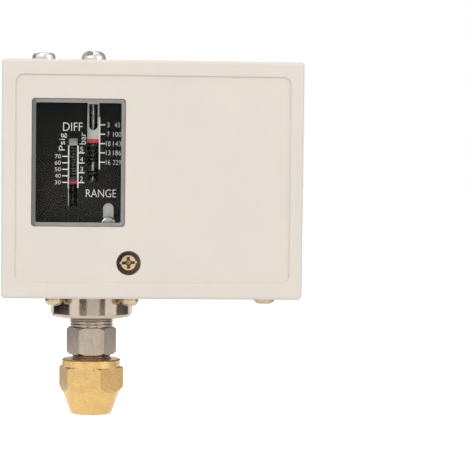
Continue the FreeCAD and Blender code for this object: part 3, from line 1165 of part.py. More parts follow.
def contact_arm():
    front, back = ARM_MID_Y - ARM_HUB_HALF, ARM_MID_Y + ARM_HUB_HALF
    strip = box(ARM_LEFT, ARM_PIVOT_X + ARM_HUB_R, ARM_MID_Y - ARM_HALF_WIDTH, ARM_MID_Y + ARM_HALF_WIDTH,
                STRIP_LOW_Z, STRIP_HIGH_Z)
    hub = level(ARM_HUB_R, ARM_PIVOT_X, ARM_PIVOT_Z, front, back)
    bore = level(ARM_PIN_R + RUN_GAP, ARM_PIVOT_X, ARM_PIVOT_Z, front - 1, back + 1)
    return joined(strip, hub).cut(bore)


def moving_contacts():
    buttons = [upright(CONTACT_R, CONTACT_X, ARM_MID_Y, STRIP_HIGH_Z, STRIP_HIGH_Z + CONTACT_H),
               upright(CONTACT_R, CONTACT_X, ARM_MID_Y, STRIP_LOW_Z - CONTACT_H, STRIP_LOW_Z)]
    return Part.makeCompound(buttons)


def snap_leaf():
    """A bowed leaf under the arm's free end, which the lever's end works."""
    top, foot = STRIP_LOW_Z, LEVER_TOP_Z + LEAF_LEVER_GAP
    left, t, bend = ARM_LEFT + LEAF_INSET, LEAF_THICK, LEAF_BEND
    bow, tail, toe = left + LEAF_BOW, left + LEAF_TAIL, left + LEAF_FOOT
    points = [(tail, top), (tail, top - t), (bow + t + t, top - t - bend), (bow, top - LEAF_BOW),
              (bow + bend, foot + t), (toe, foot + t), (toe, foot), (bow - bend, foot),
              (bow - t - bend / 2, top - LEAF_BOW), (bow + bend, top - bend), (bow + t + t, top)]
    return sheet_xz(points, ARM_MID_Y - ARM_HALF_WIDTH + LEAF_SIDE, ARM_MID_Y + ARM_HALF_WIDTH - LEAF_SIDE)


def terminal_screws():
    body = screw(TERMINAL_SCREW_R, TERMINAL_SCREW_LENGTH, TERMINAL_SCREW_HEAD_R, TERMINAL_SCREW_HEAD_H,
                 TERMINAL_SCREW_DOME)
    body = body.cut([cross_drive(TERMINAL_SCREW_HEAD_H, TERMINAL_SCREW_HEAD_R, 0),
                     slot_drive(TERMINAL_SCREW_HEAD_R, TERMINAL_SCREW_HEAD_H, TERMINAL_SCREW_SLOT,
                                TERMINAL_SCREW_SLOT, 0)])
    return Part.makeCompound([placed(body, TERMINAL_X, TERMINAL_FRONT_Y, z, -Y_AXIS)
                              for z in TERMINAL_LEVELS])


def switch_bracket():
    front = SWITCH_BACK_Y - BRACKET_SHEET
    plate = box(BRACKET_LEFT, SWITCH_RIGHT, front, SWITCH_BACK_Y, FLOOR_Z,
                SWITCH_MID_Z + SWITCH_HALF_HEIGHT - BRACKET_TRIM)
    foot = box(BRACKET_SCREW_X - PLAIN_WASHER_R, SWITCH_RIGHT, SWITCH_BACK_Y - BRACKET_FOOT_DEPTH,
               SWITCH_BACK_Y, FLOOR_Z, FLOOR_Z + BRACKET_SHEET)
    holes = [upright(BRACKET_SCREW_R + THREAD_GAP, BRACKET_SCREW_X, ARM_MID_Y, FLOOR_Z - 1,
                     FLOOR_Z + BRACKET_SHEET + 1)]
    holes += [level(RIVET_R + THREAD_GAP, x, z, front - 1, SWITCH_BACK_Y + 1) for x, z in rivet_places()]
    return joined(plate, foot).cut(holes)


def switch_rivets():
    body = screw(RIVET_R, BRACKET_SHEET + RIVET_GRIP, RIVET_HEAD_R, RIVET_HEAD_H, RIVET_DOME)
    return Part.makeCompound([placed(body, x, SWITCH_BACK_Y, z, Y_AXIS) for x, z in rivet_places()])


def bracket_washers():
    """A plain washer against the case, and a spring washer under the screw head."""
    low, mid = -REAR_HALF_H - PLAIN_WASHER_H - SPRING_WASHER_H, -REAR_HALF_H - PLAIN_WASHER_H
    bore = upright(BRACKET_SCREW_R + HOLE_GAP, BRACKET_SCREW_X, ARM_MID_Y, low - 1, FLOOR_Z)
    plain = upright(PLAIN_WASHER_R, BRACKET_SCREW_X, ARM_MID_Y, mid, -REAR_HALF_H)
    split = upright(SPRING_WASHER_R, BRACKET_SCREW_X, ARM_MID_Y, low, mid)
    half = SPRING_WASHER_SPLIT / 2
    gap = box(BRACKET_SCREW_X, BRACKET_SCREW_X + SPRING_WASHER_R + 1, ARM_MID_Y - half, ARM_MID_Y + half,
              low - 1, mid)
    return Part.makeCompound([plain.cut(bore), split.cut([bore, gap])])


def bracket_screw():
    seat = -REAR_HALF_H - PLAIN_WASHER_H - SPRING_WASHER_H
    body = screw(BRACKET_SCREW_R, BRACKET_SCREW_LENGTH, BRACKET_SCREW_HEAD_R, BRACKET_SCREW_HEAD_H,
                 BRACKET_SCREW_DOME)
    body = body.cut(cross_drive(BRACKET_SCREW_HEAD_H, BRACKET_SCREW_HEAD_R, BRACKET_SCREW_TURN))
    return placed(body, BRACKET_SCREW_X, ARM_MID_Y, seat, -Z_AXIS)


def earth_screw():
    seat = -SHEET - EARTH_COLLAR_LENGTH - EARTH_WASHER_H
    body = screw(EARTH_SCREW_R, -seat, EARTH_HEAD_R, EARTH_HEAD_H, EARTH_DOME)
    body = body.cut([cross_drive(EARTH_HEAD_H, EARTH_HEAD_R, 0),
                     slot_drive(EARTH_HEAD_R, EARTH_HEAD_H, EARTH_SLOT, EARTH_SLOT, 0)])
    return placed(body, EARTH_X, seat, EARTH_Z, -Y_AXIS)


def earth_washer():
    front = -SHEET - EARTH_COLLAR_LENGTH - EARTH_WASHER_H
    ring = level(EARTH_WASHER_R, EARTH_X, EARTH_Z, front, front + EARTH_WASHER_H)
    return ring.cut(level(EARTH_SCREW_R + HOLE_GAP, EARTH_X, EARTH_Z, front - 1, 0))


RANGE_HEAD = (RANGE_HEAD_R, RANGE_HEAD_H, RANGE_HEAD_DOME, RANGE_DRIVE_TURN)
DIFF_HEAD = (DIFF_HEAD_R, DIFF_HEAD_H, DIFF_HEAD_DOME, DIFF_DRIVE_TURN)

NODES = {
    "front_cover": front_cover(),
    "window_pane": window_pane(),
    "cover_screw": cover_screw(),
    "cover_post": cover_post(),
    "rear_case": rear_case(),
    "case_floor": case_floor(),
    "cable_grommet": cable_grommet(),
    "mechanism_frame": mechanism_frame(),
    "scale_plate": scale_plate(),
    "scale_plate_screws": scale_plate_screws(),
    "range_bush": spindle_bush(RANGE_X, RANGE_SCREW_R),
    "range_washer": spindle_washer(RANGE_X, RANGE_SCREW_R, RANGE_WASHER_H),
    "range_screw": spindle(RANGE_X, RANGE_SCREW_R, RANGE_SCREW_END, RANGE_WASHER_H, RANGE_HEAD),
    "range_clip": spindle_clip(RANGE_X, RANGE_SCREW_R),
    "range_seat": range_seat(),
    "range_pointer": range_pointer(),
    "range_spring": coil(RANGE_X, AXIS_Y, SPRING_LOW_Z, SEAT_Z, SPRING_R, SPRING_WIRE_R, SPRING_TURNS),
    "diff_bush": spindle_bush(DIFF_X, DIFF_SCREW_R),
    "diff_washer": spindle_washer(DIFF_X, DIFF_SCREW_R, DIFF_WASHER_H),
    "diff_screw": spindle(DIFF_X, DIFF_SCREW_R, DIFF_SCREW_END, DIFF_WASHER_H, DIFF_HEAD),
    "diff_clip": spindle_clip(DIFF_X, DIFF_SCREW_R),
    "diff_seat": diff_seat(),
    "diff_pointer": diff_pointer(),
    "diff_spring": coil(DIFF_SLOT_X, DIFF_SPRING_Y, DIFF_ARM_Z, TAB_Z - STEM_WASHER_H, DIFF_SPRING_R,
                        DIFF_SPRING_WIRE_R, DIFF_SPRING_TURNS),
    "diff_spring_washer": diff_spring_washer(),
    "diff_stem": diff_stem(),
    "main_lever": main_lever(),
    "lever_spring_seat": lever_spring_seat(),
    "lever_pin": lever_pin(),
    "lever_spacers": lever_spacers(),
    "push_rod": push_rod(),
    "bellows_top_plate": bellows_top_plate(),
    "bellows_cup": bellows_cup(),
    "bellows": bellows(),
    "element_screws": element_screws(),
    "pressure_connector": pressure_connector(),
    "flare_bonnet": flare_bonnet(),
    "flare_nut": flare_nut(),
    "switch_base": switch_base(),
    "upper_terminal": upper_terminal(),
    "common_terminal": common_terminal(),
    "lower_terminal": lower_terminal(),
    "terminal_screws": terminal_screws(),
    "contact_pin": contact_pin(),
    "contact_arm": contact_arm(),
    "moving_contacts": moving_contacts(),
    "snap_leaf": snap_leaf(),
    "switch_bracket": switch_bracket(),
    "switch_rivets": switch_rivets(),
    "bracket_washers": bracket_washers(),
    "bracket_screw": bracket_screw(),
    "earth_washer": earth_washer(),
    "earth_screw": earth_screw(),
}

os.makedirs("parts", exist_ok=True)
for name, shape in NODES.items():
    shape.exportStep("parts/" + name + ".step")
print(len(NODES), "nodes written")
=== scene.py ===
"""Dresses the boxed pressure switch: its finishes, scale figures, springs, bellows and studio."""
import math

import bmesh
import bpy
from bpy.props import FloatProperty, FloatVectorProperty, PointerProperty
from mathutils import Color, Matrix, Vector


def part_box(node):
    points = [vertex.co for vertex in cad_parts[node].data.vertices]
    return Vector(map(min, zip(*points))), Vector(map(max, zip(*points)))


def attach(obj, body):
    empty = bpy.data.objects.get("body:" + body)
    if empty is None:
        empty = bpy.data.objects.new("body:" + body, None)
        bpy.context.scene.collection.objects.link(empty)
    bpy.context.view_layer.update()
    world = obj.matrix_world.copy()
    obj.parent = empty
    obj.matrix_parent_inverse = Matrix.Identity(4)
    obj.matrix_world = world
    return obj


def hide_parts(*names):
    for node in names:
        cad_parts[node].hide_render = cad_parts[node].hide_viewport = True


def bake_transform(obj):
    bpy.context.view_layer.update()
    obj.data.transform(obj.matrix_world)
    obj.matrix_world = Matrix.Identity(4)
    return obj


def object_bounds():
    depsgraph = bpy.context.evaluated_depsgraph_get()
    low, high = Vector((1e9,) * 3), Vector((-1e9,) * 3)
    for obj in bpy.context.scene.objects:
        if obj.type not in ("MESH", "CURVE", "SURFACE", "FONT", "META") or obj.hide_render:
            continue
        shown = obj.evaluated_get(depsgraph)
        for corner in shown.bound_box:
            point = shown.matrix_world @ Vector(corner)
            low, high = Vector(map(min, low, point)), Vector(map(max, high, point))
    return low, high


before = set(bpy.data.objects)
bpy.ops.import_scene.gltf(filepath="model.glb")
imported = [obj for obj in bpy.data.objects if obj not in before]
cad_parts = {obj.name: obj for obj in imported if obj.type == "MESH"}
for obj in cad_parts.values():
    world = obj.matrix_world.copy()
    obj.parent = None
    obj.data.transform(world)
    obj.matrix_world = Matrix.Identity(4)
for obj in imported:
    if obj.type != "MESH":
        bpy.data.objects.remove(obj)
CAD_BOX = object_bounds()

bl_info = {
    "name": "Pressure Switch Dresser",
    "version": (1, 0, 0),
    "blender": (4, 5, 0),
    "location": "View3D > Sidebar > Pressure Switch",
    "description": "Builds the looks of a boxed pressure switch round its packed CAD model",
    "category": "Object",
}

MM = 0.001


def node_box(node):
    """A CAD node's lowest and highest corners, in millimetres."""
    low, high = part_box(node)
    return low / MM, high / MM


def node_middle(node):
    """The middle of a CAD node's box, in millimetres."""
    low, high = node_box(node)
    return (low + high) / 2


PLATE_FRONT = node_box("scale_plate")[0].y
WINDOW_LOW, WINDOW_HIGH = node_box("window_pane")
# How far the window's flange reaches past its raised walls
WINDOW_FLANGE = 1.7
HOLE_MIDDLE = node_middle("cover_screw")
HEAD_FRONT = node_box("cover_screw")[0].y
FITTING = node_middle("bellows_cup")


def colour(name, description, red, green, blue):
    """A colour setting, as a display shows it."""
    return FloatVectorProperty(name=name, description=description, subtype="COLOR_GAMMA", size=3,
                               min=0.0, max=1.0, default=(red / 255, green / 255, blue / 255))


def length(name, description, default):
    """A length setting, in millimetres."""
    return FloatProperty(name=name, description=description, subtype="DISTANCE", unit="LENGTH",
                         default=default * MM, precision=5)


class FinishColours(bpy.types.PropertyGroup):
    """The colours of the switch's surfaces."""
    cover: colour("Cover", "Cream of the moulded cover", 228, 219, 209)
    # Painted shade on the wall of the cover screw's hole
    recess: colour("Recess", "Painted shade on the wall of the cover screw's hole", 150, 141, 114)
    screw: colour("Cover Screw", "Yellowed zinc of the cover screw", 214, 192, 164)
    # Painted shade in the cover screw's cross recess, and a lighter painted shade in its middle
    drive: colour("Drive Recess", "Brown painted shade in the cover screw's recess", 104, 70, 44)
    core: colour("Recess Middle", "Lighter painted shade in the middle of the cover screw's recess", 158, 128, 94)
    zinc: colour("Zinc", "Bright zinc on the sheet parts", 176, 176, 172)
    pointer: colour("Pointer", "Pale grey of the pointers and of the threads", 228, 227, 221)
    fine_spring: colour("Fine Spring", "Grey wire of the differential spring", 128, 124, 106)
    yellow_zinc: colour("Yellow Zinc", "Yellowish zinc on the screws", 198, 180, 152)
    clear_zinc: colour("Clear Zinc", "Clear zinc on the scale plate's and earth screws", 190, 184, 174)
    nickel: colour("Nickel", "Polished nickel of the cup", 182, 167, 152)
    satin_nickel: colour("Satin Nickel", "Brushed nickel of the hexagon", 176, 161, 147)
    brass: colour("Brass", "Brass of the nut and the terminals", 214, 178, 118)
    bronze: colour("Bronze", "Bronze of the bellows and the contact arm", 190, 130, 84)
    copper: colour("Copper", "Annealed copper of the flare ring", 205, 128, 92)
    silver: colour("Silver", "Contact metal", 222, 222, 218)
    spring: colour("Spring Steel", "Dark oiled steel of wire, clips and seats", 88, 84, 79)
    plate: colour("Scale Plate", "Black enamel behind the window", 5, 5, 5)
    dust_and_plate_light: colour("Plate Light", "Painted light on the lower part of the scale plate", 37, 36, 32)
    # Painted light on the lower part of the scale plate
    figures: colour("Figures", "White print on the scale plate", 226, 226, 220)
    marker: colour("Marker", "Red paint on the pointers", 228, 60, 76)
    olive: colour("Olive", "Dark green paint over the differential mark", 66, 76, 58)
    rim: colour("Window Rim", "Frosted edge of the clear window", 148, 148, 146)
    rubber: colour("Rubber", "Black rubber of the cable ring", 38, 38, 38)
    switch: colour("Switch Body", "Black moulded switch body", 40, 38, 37)


class PieceSizes(bpy.types.PropertyGroup):
    """Sizes of the pieces built here."""
    print_height: length("Print Height", "How far the print stands on the plate", 0.03)
    stroke: length("Stroke", "Width of the scale's lines", 0.3)
    rim_width: length("Rim Width", "Width of the window's frosted edge", 0.96)
    rim_height: length("Rim Height", "How far the frosted edge stands on the window", 0.03)
    range_wire: length("Range Wire", "Radius of the range spring's wire", 0.8)
    range_coil: length("Range Coil", "Radius of the range spring, to its wire's middle", 5.7)
    diff_wire: length("Differential Wire", "Radius of the differential spring's wire", 0.28)
    diff_coil: length("Differential Coil", "Radius of the differential spring, to its wire's middle", 1.8)
    range_turns: FloatProperty(name="Range Turns", description="Open turns of its spring", default=4.0)
    diff_turns: FloatProperty(name="Differential Turns", description="Open turns of its spring",
                              default=22.0)
    bellows_wall: length("Bellows Wall", "Thickness of the bellows", 0.25)
    floor_gap: length("Floor Gap", "Room under the nut for its travel down the thread", 6.9)


class StudioLight(bpy.types.PropertyGroup):
    """The studio's lamps and surroundings."""
    key: FloatProperty(name="Key", description="Power of the lamp above left", unit="POWER", default=3.1)
    fill: FloatProperty(name="Fill", description="Power of the right lamp", unit="POWER", default=1.35)
    top: FloatProperty(name="Top", description="Power of the lamp overhead", unit="POWER", default=1.2)
    sky: FloatProperty(name="Sky", description="Strength of the even light from all round", default=0.58)


# Drawing materials

class Graph:
    """Adds nodes to one tree and links them."""

    def __init__(self, tree):
        self.tree = tree

    def put(self, kind, inputs=None, **settings):
        node = self.tree.nodes.new("ShaderNode" + kind)
        for key, value in settings.items():
            setattr(node, key, value)
        for key, value in (inputs or {}).items():
            self.feed(node.inputs[key], value)
        return node

    def feed(self, socket, value):
        if isinstance(value, bpy.types.NodeSocket):
            self.tree.links.new(value, socket)
        else:
            socket.default_value = value

    def place(self):
        """The shaded point, in the object's own space."""
        return self.put("TexCoord").outputs["Object"]

    def along(self, point, axis):
        """A point's X, Y or Z."""
        return self.put("SeparateXYZ", {0: point}).outputs["XYZ".index(axis)]

    def maths(self, operation, first, second=0.0):
        return self.put("Math", {0: first, 1: second}, operation=operation).outputs[0]

    def spread(self, value, low, high, to_low=0.0, to_high=1.0):
        """Maps a value's span onto another."""
        node = self.put("MapRange", {"Value": value, "From Min": low, "From Max": high, "To Min": to_low,
                                     "To Max": to_high})
        return node.outputs["Result"]

    def tint(self, mask, first, second):
        """The first colour where a mask is black and the second where it is white."""
        node = self.put("Mix", {"Factor": mask}, data_type="RGBA")
        self.feed(node.inputs[6], first)
        self.feed(node.inputs[7], second)
        return node.outputs[2]


def linear(rgb, strength=1.0):
    """A picked display colour as light, with full alpha."""
    c = Color(rgb).from_srgb_to_scene_linear()
    return (c.r * strength, c.g * strength, c.b * strength, 1.0)


def effect(name, inputs, outputs):
    """A node group with named sockets, its graph, its input node and its output node."""
    group = bpy.data.node_groups.new(name, "ShaderNodeTree")
    for title, kind, default in inputs:
        socket = group.interface.new_socket(name=title, in_out="INPUT", socket_type=kind)
        socket.default_value = default
    for title, kind in outputs:
        group.interface.new_socket(name=title, in_out="OUTPUT", socket_type=kind)
    graph = Graph(group)
    entry = group.nodes.new("NodeGroupInput")
    result = group.nodes.new("NodeGroupOutput")
    return group, graph, entry.outputs, result.inputs


def stretched_noise(graph, scale, detail, roughness=0.6):
    moved = graph.put("VectorMath", {0: graph.place(), 1: scale}, operation="MULTIPLY").outputs[0]
    return graph.put("TexNoise", {"Vector": moved, "Scale": 1.0, "Detail": detail,
                                  "Roughness": roughness}).outputs[0]


def grain_effect():
    """Uneven mottling: a mask for colour and roughness, and a height for the bump."""
    group, g, given, out = effect("Mottle", [
        ("Scale", "NodeSocketVector", (900.0, 900.0, 900.0)), ("Low", "NodeSocketFloat", 0.35),
        ("High", "NodeSocketFloat", 0.65)], [("Mask", "NodeSocketFloat"), ("Height", "NodeSocketFloat")])
    noise = stretched_noise(g, given["Scale"], detail=3.0)
    g.feed(out["Mask"], g.spread(noise, given["Low"], given["High"]))
    g.feed(out["Height"], noise)
    return group


def edge_effect():
    """Finds the outer edges, for wear, and rounds them for the light."""
    group, g, given, out = effect("Worn Edge", [("Radius", "NodeSocketFloat", 0.00015)],
                                  [("Mask", "NodeSocketFloat"), ("Normal", "NodeSocketVector")])
    bevel = g.put("Bevel", {"Radius": given["Radius"]}, samples=6).outputs[0]
    flat = g.put("NewGeometry").outputs["Normal"]
    match = g.put("VectorMath", {0: bevel, 1: flat}, operation="DOT_PRODUCT").outputs["Value"]
    level, sharp = 0.995, 0.85
    g.feed(out["Mask"], g.spread(match, level, sharp))
    g.feed(out["Normal"], bevel)
    return group


def thread_effect():
    """Rings as close as a screw's thread on an upright shaft, up to a level."""
    group, g, given, out = effect("Screw Thread", [
        ("Turns", "NodeSocketFloat", 1250.0), ("Top", "NodeSocketFloat", 0.02)],
        [("Height", "NodeSocketFloat")])
    height = g.along(g.place(), "Z")
    wave = g.maths("PINGPONG", g.maths("MULTIPLY", height, given["Turns"]), 0.5)
    below = g.maths("LESS_THAN", height, given["Top"])
    g.feed(out["Height"], g.maths("MULTIPLY", wave, below))
    return group


class Finish:
    """One material being drawn: its graph, its shader and the shared effects."""

    def __init__(self, name):
        self.material = bpy.data.materials.new(name)
        self.material.use_nodes = True
        self.graph = Graph(self.material.node_tree)
        self.shader = self.material.node_tree.nodes["Principled BSDF"]

    def set(self, **sockets):
        for key, value in sockets.items():
            self.graph.feed(self.shader.inputs[key.replace("_", " ")], value)

    def coat(self, rgb, mask, dull, worn=None, wear=0.0, bright=1.0):
        """Colours the finish, duller where a mask is white and brighter on worn edges."""
        base = self.graph.tint(mask, linear(rgb), linear(rgb, dull))
        if worn is not None:
            base = self.graph.tint(self.graph.maths("MULTIPLY", worn, wear), base, linear(rgb, bright))
        self.set(Base_Color=base)

    def roughen(self, mask, smooth, rough):
        """Takes the finish from one roughness to another as a mask goes from black to white."""
        self.set(Roughness=self.graph.spread(mask, 0.0, 1.0, smooth, rough))

    def effect(self, name, **inputs):
        node = self.graph.put("Group", node_tree=bpy.data.node_groups[name])
        for key, value in inputs.items():
            self.graph.feed(node.inputs[key], value)
        return node.outputs

    def bump(self, height, depth, normal=None):
        """Feeds a height, in millimetres of depth, to the shader's normal."""
        node = self.graph.put("Bump", {"Height": height, "Distance": depth * MM, "Strength": 1.0})
        if normal is not None:
            self.graph.feed(node.inputs["Normal"], normal)
        self.graph.feed(self.shader.inputs["Normal"], node.outputs[0])
        return node.outputs[0]


def even(size):
    """A noise scale, the same all ways, for marks of a size in millimetres."""
    return (1000 / size,) * 3


def moulding(name, rgb, roughness, grain, depth, edge):
    """Moulded plastic: a fine satin grain, slight clouding and a paler worn edge."""
    f = Finish(name)
    cloud = f.effect("Mottle", Scale=even(18.0))
    pits = f.effect("Mottle", Scale=even(grain))
    worn = f.effect("Worn Edge", Radius=edge * MM)
    f.coat(rgb, cloud["Mask"], dull=0.972, worn=worn["Mask"], wear=0.25, bright=1.12)
    f.roughen(pits["Mask"], roughness - 0.05, roughness + 0.07)
    f.bump(pits["Height"], depth, normal=worn["Normal"])
    return f.material


class Overlay(Graph):
    """Lays a colour over part of a drawn material."""

    def __init__(self, material):
        super().__init__(material.node_tree)
        self.socket = material.node_tree.nodes["Principled BSDF"].inputs["Base Color"]

    def lay(self, mask, over):
        under = self.socket.links[0].from_socket
        self.feed(self.socket, self.tint(mask, under, over))


def paint_recess_shade(material, rgb, middle, radius, unshaded_y, dark_y):
    """Lays painted shade in a recess inside a radius in front view, from one depth to another, darkest at
    the left and with painted light at the right.
    """
    g = Overlay(material)
    place = g.place()
    away = g.put("VectorMath", {0: place, 1: middle * MM}, operation="SUBTRACT").outputs[0]
    flat = g.put("VectorMath", {0: away, 1: (1, 0, 1)}, operation="MULTIPLY").outputs[0]
    reach = g.put("VectorMath", {0: flat}, operation="LENGTH").outputs["Value"]
    inside = g.maths("LESS_THAN", reach, radius * MM)
    across = g.spread(g.along(away, "X"), -radius * MM, radius * MM)
    # Painted shade on the recess's left side and painted light on its right side, for light falling from
    # the upper left
    left_tone, right_tone = 0.5, 1.3
    shade_and_light = g.tint(across, linear(rgb, left_tone), linear(rgb, right_tone))
    deep = g.spread(g.along(place, "Y"), unshaded_y * MM, dark_y * MM)
    g.lay(g.maths("MULTIPLY", inside, deep), shade_and_light)


def paint_light_below(material, rgb, unlit_z, lit_z):
    """Lays painted light on a material: none at one height and a full coat at another."""
    g = Overlay(material)
    g.lay(g.spread(g.along(g.place(), "Z"), unlit_z * MM, lit_z * MM), linear(rgb))


def plated(name, rgb, roughness, marks, depth, edge=0.15, dull=0.86, contrast=0.12):
    """Plated metal: grain drawn out by its marks' size, patches of dulling and bright edges."""
    f = Finish(name)
    grain = f.effect("Mottle", Scale=marks)
    patch = f.effect("Mottle", Scale=even(3.5))
    worn = f.effect("Worn Edge", Radius=edge * MM)
    f.set(Metallic=1.0)
    f.coat(rgb, patch["Mask"], dull=dull, worn=worn["Mask"], wear=0.4, bright=1.15)
    f.roughen(grain["Mask"], roughness - contrast / 2, roughness + contrast / 2)
    f.bump(grain["Height"], depth, normal=worn["Normal"])
    return f.material


def hammered_metal(name, rgb, roughness, speck, depth, dents):
    """Stamped metal: a fine speckle, soft dents and dulled patches."""
    f = Finish(name)
    grain = f.effect("Mottle", Scale=even(speck))
    patch = f.effect("Mottle", Scale=even(2.4))
    worn = f.effect("Worn Edge", Radius=0.2 * MM)
    f.set(Metallic=1.0)
    f.coat(rgb, patch["Mask"], dull=0.9, worn=worn["Mask"], wear=0.5, bright=1.2)
    f.roughen(grain["Mask"], roughness - 0.05, roughness + 0.1)
    normal = f.bump(grain["Height"], depth, normal=worn["Normal"])
    f.bump(patch["Height"], dents, normal=normal)
    return f.material


def threaded_metal(name, rgb, pitch, top):
    """A plated screw whose shaft shows its thread."""
    f = Finish(name)
    thread = f.effect("Screw Thread", Turns=1000 / pitch, Top=top * MM)
    patch = f.effect("Mottle", Scale=even(1.5))
    f.set(Metallic=1.0)
    f.coat(rgb, patch["Mask"], dull=0.82)
    f.roughen(patch["Mask"], 0.2, 0.3)
    softened = 0.03
    f.bump(thread["Height"], pitch * softened)
    return f.material


def painted(name, rgb, roughness, fleck, depth, gloss=0.5):
    """Paint or print: an even coat with a fine fleck."""
    f = Finish(name)
    speck = f.effect("Mottle", Scale=even(fleck))
    f.set(Specular_IOR_Level=gloss)
    f.coat(rgb, speck["Mask"], dull=0.88)
    f.roughen(speck["Mask"], roughness, roughness + 0.12)
    f.bump(speck["Height"], depth)
    return f.material


def clear_window(name):
    """Clear plastic, almost absent for the light on its way to the scale."""
    f = Finish(name)
    film = f.effect("Mottle", Scale=even(6.0), Low=0.3, High=0.8)
    f.roughen(film["Mask"], 0.015, 0.05)
    path = f.graph.put("LightPath").outputs
    scattered = f.graph.maths("MAXIMUM", path["Is Diffuse Ray"], path["Is Glossy Ray"])
    passing = f.graph.maths("MAXIMUM", path["Is Shadow Ray"], scattered)
    shown, faint = 1.0, 0.04
    f.set(Base_Color=(0.97, 0.98, 0.975, 1.0), Transmission_Weight=1.0, IOR=1.2, Specular_IOR_Level=0.01,
          Alpha=f.graph.spread(passing, 0.0, 1.0, shown, faint))
    f.bump(film["Height"], 0.004)
    return f.material


def frosted(name, rgb):
    """The window's frosted edge, with painted shade along the side that the light comes from."""
    material = painted(name, rgb, 0.34, 2.5, 0.01)
    g = Overlay(material)
    # Painted shade: the rim's left side is darker
    shaded_width, shade = 1.05, 0.5
    left = (WINDOW_LOW.x + WINDOW_FLANGE + shaded_width) * MM
    g.lay(g.maths("LESS_THAN", g.along(g.place(), "X"), left), linear(rgb, shade))
    return material


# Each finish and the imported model's nodes that wear it
NODE_FINISHES = {
    "Cream Cover": ["front_cover"],
    "Clear Window": ["window_pane"],
    "Pointer Metal": ["range_pointer", "diff_pointer"],
    "Zinc Sheet": ["rear_case", "case_floor", "mechanism_frame", "main_lever", "switch_bracket",
                   "bellows_top_plate", "range_bush", "diff_bush", "lever_spring_seat", "lever_pin",
                   "lever_spacers", "push_rod", "diff_spring_washer", "cover_post"],
    "Cover Screw Zinc": ["cover_screw"],
    "Yellow Zinc": ["element_screws", "bracket_screw", "range_washer", "diff_washer", "terminal_screws"],
    "Clear Zinc": ["scale_plate_screws", "bracket_washers", "earth_washer", "earth_screw"],
    "Range Thread": ["range_screw"],
    "Differential Thread": ["diff_screw"],
    "Dark Spring Steel": ["range_clip", "diff_clip", "snap_leaf", "range_seat", "diff_seat", "diff_stem"],
    "Scale Enamel": ["scale_plate"],
    "Black Rubber": ["cable_grommet"],
    "Polished Nickel": ["bellows_cup"],
    "Brushed Nickel": ["pressure_connector"],
    "Stamped Brass": ["flare_nut"],
    "Sheet Brass": ["upper_terminal", "common_terminal", "lower_terminal", "contact_pin", "switch_rivets"],
    "Annealed Copper": ["flare_bonnet"],
    "Spring Bronze": ["contact_arm"],
    "Black Moulding": ["switch_base"],
    "Contact Silver": ["moving_contacts"],
}


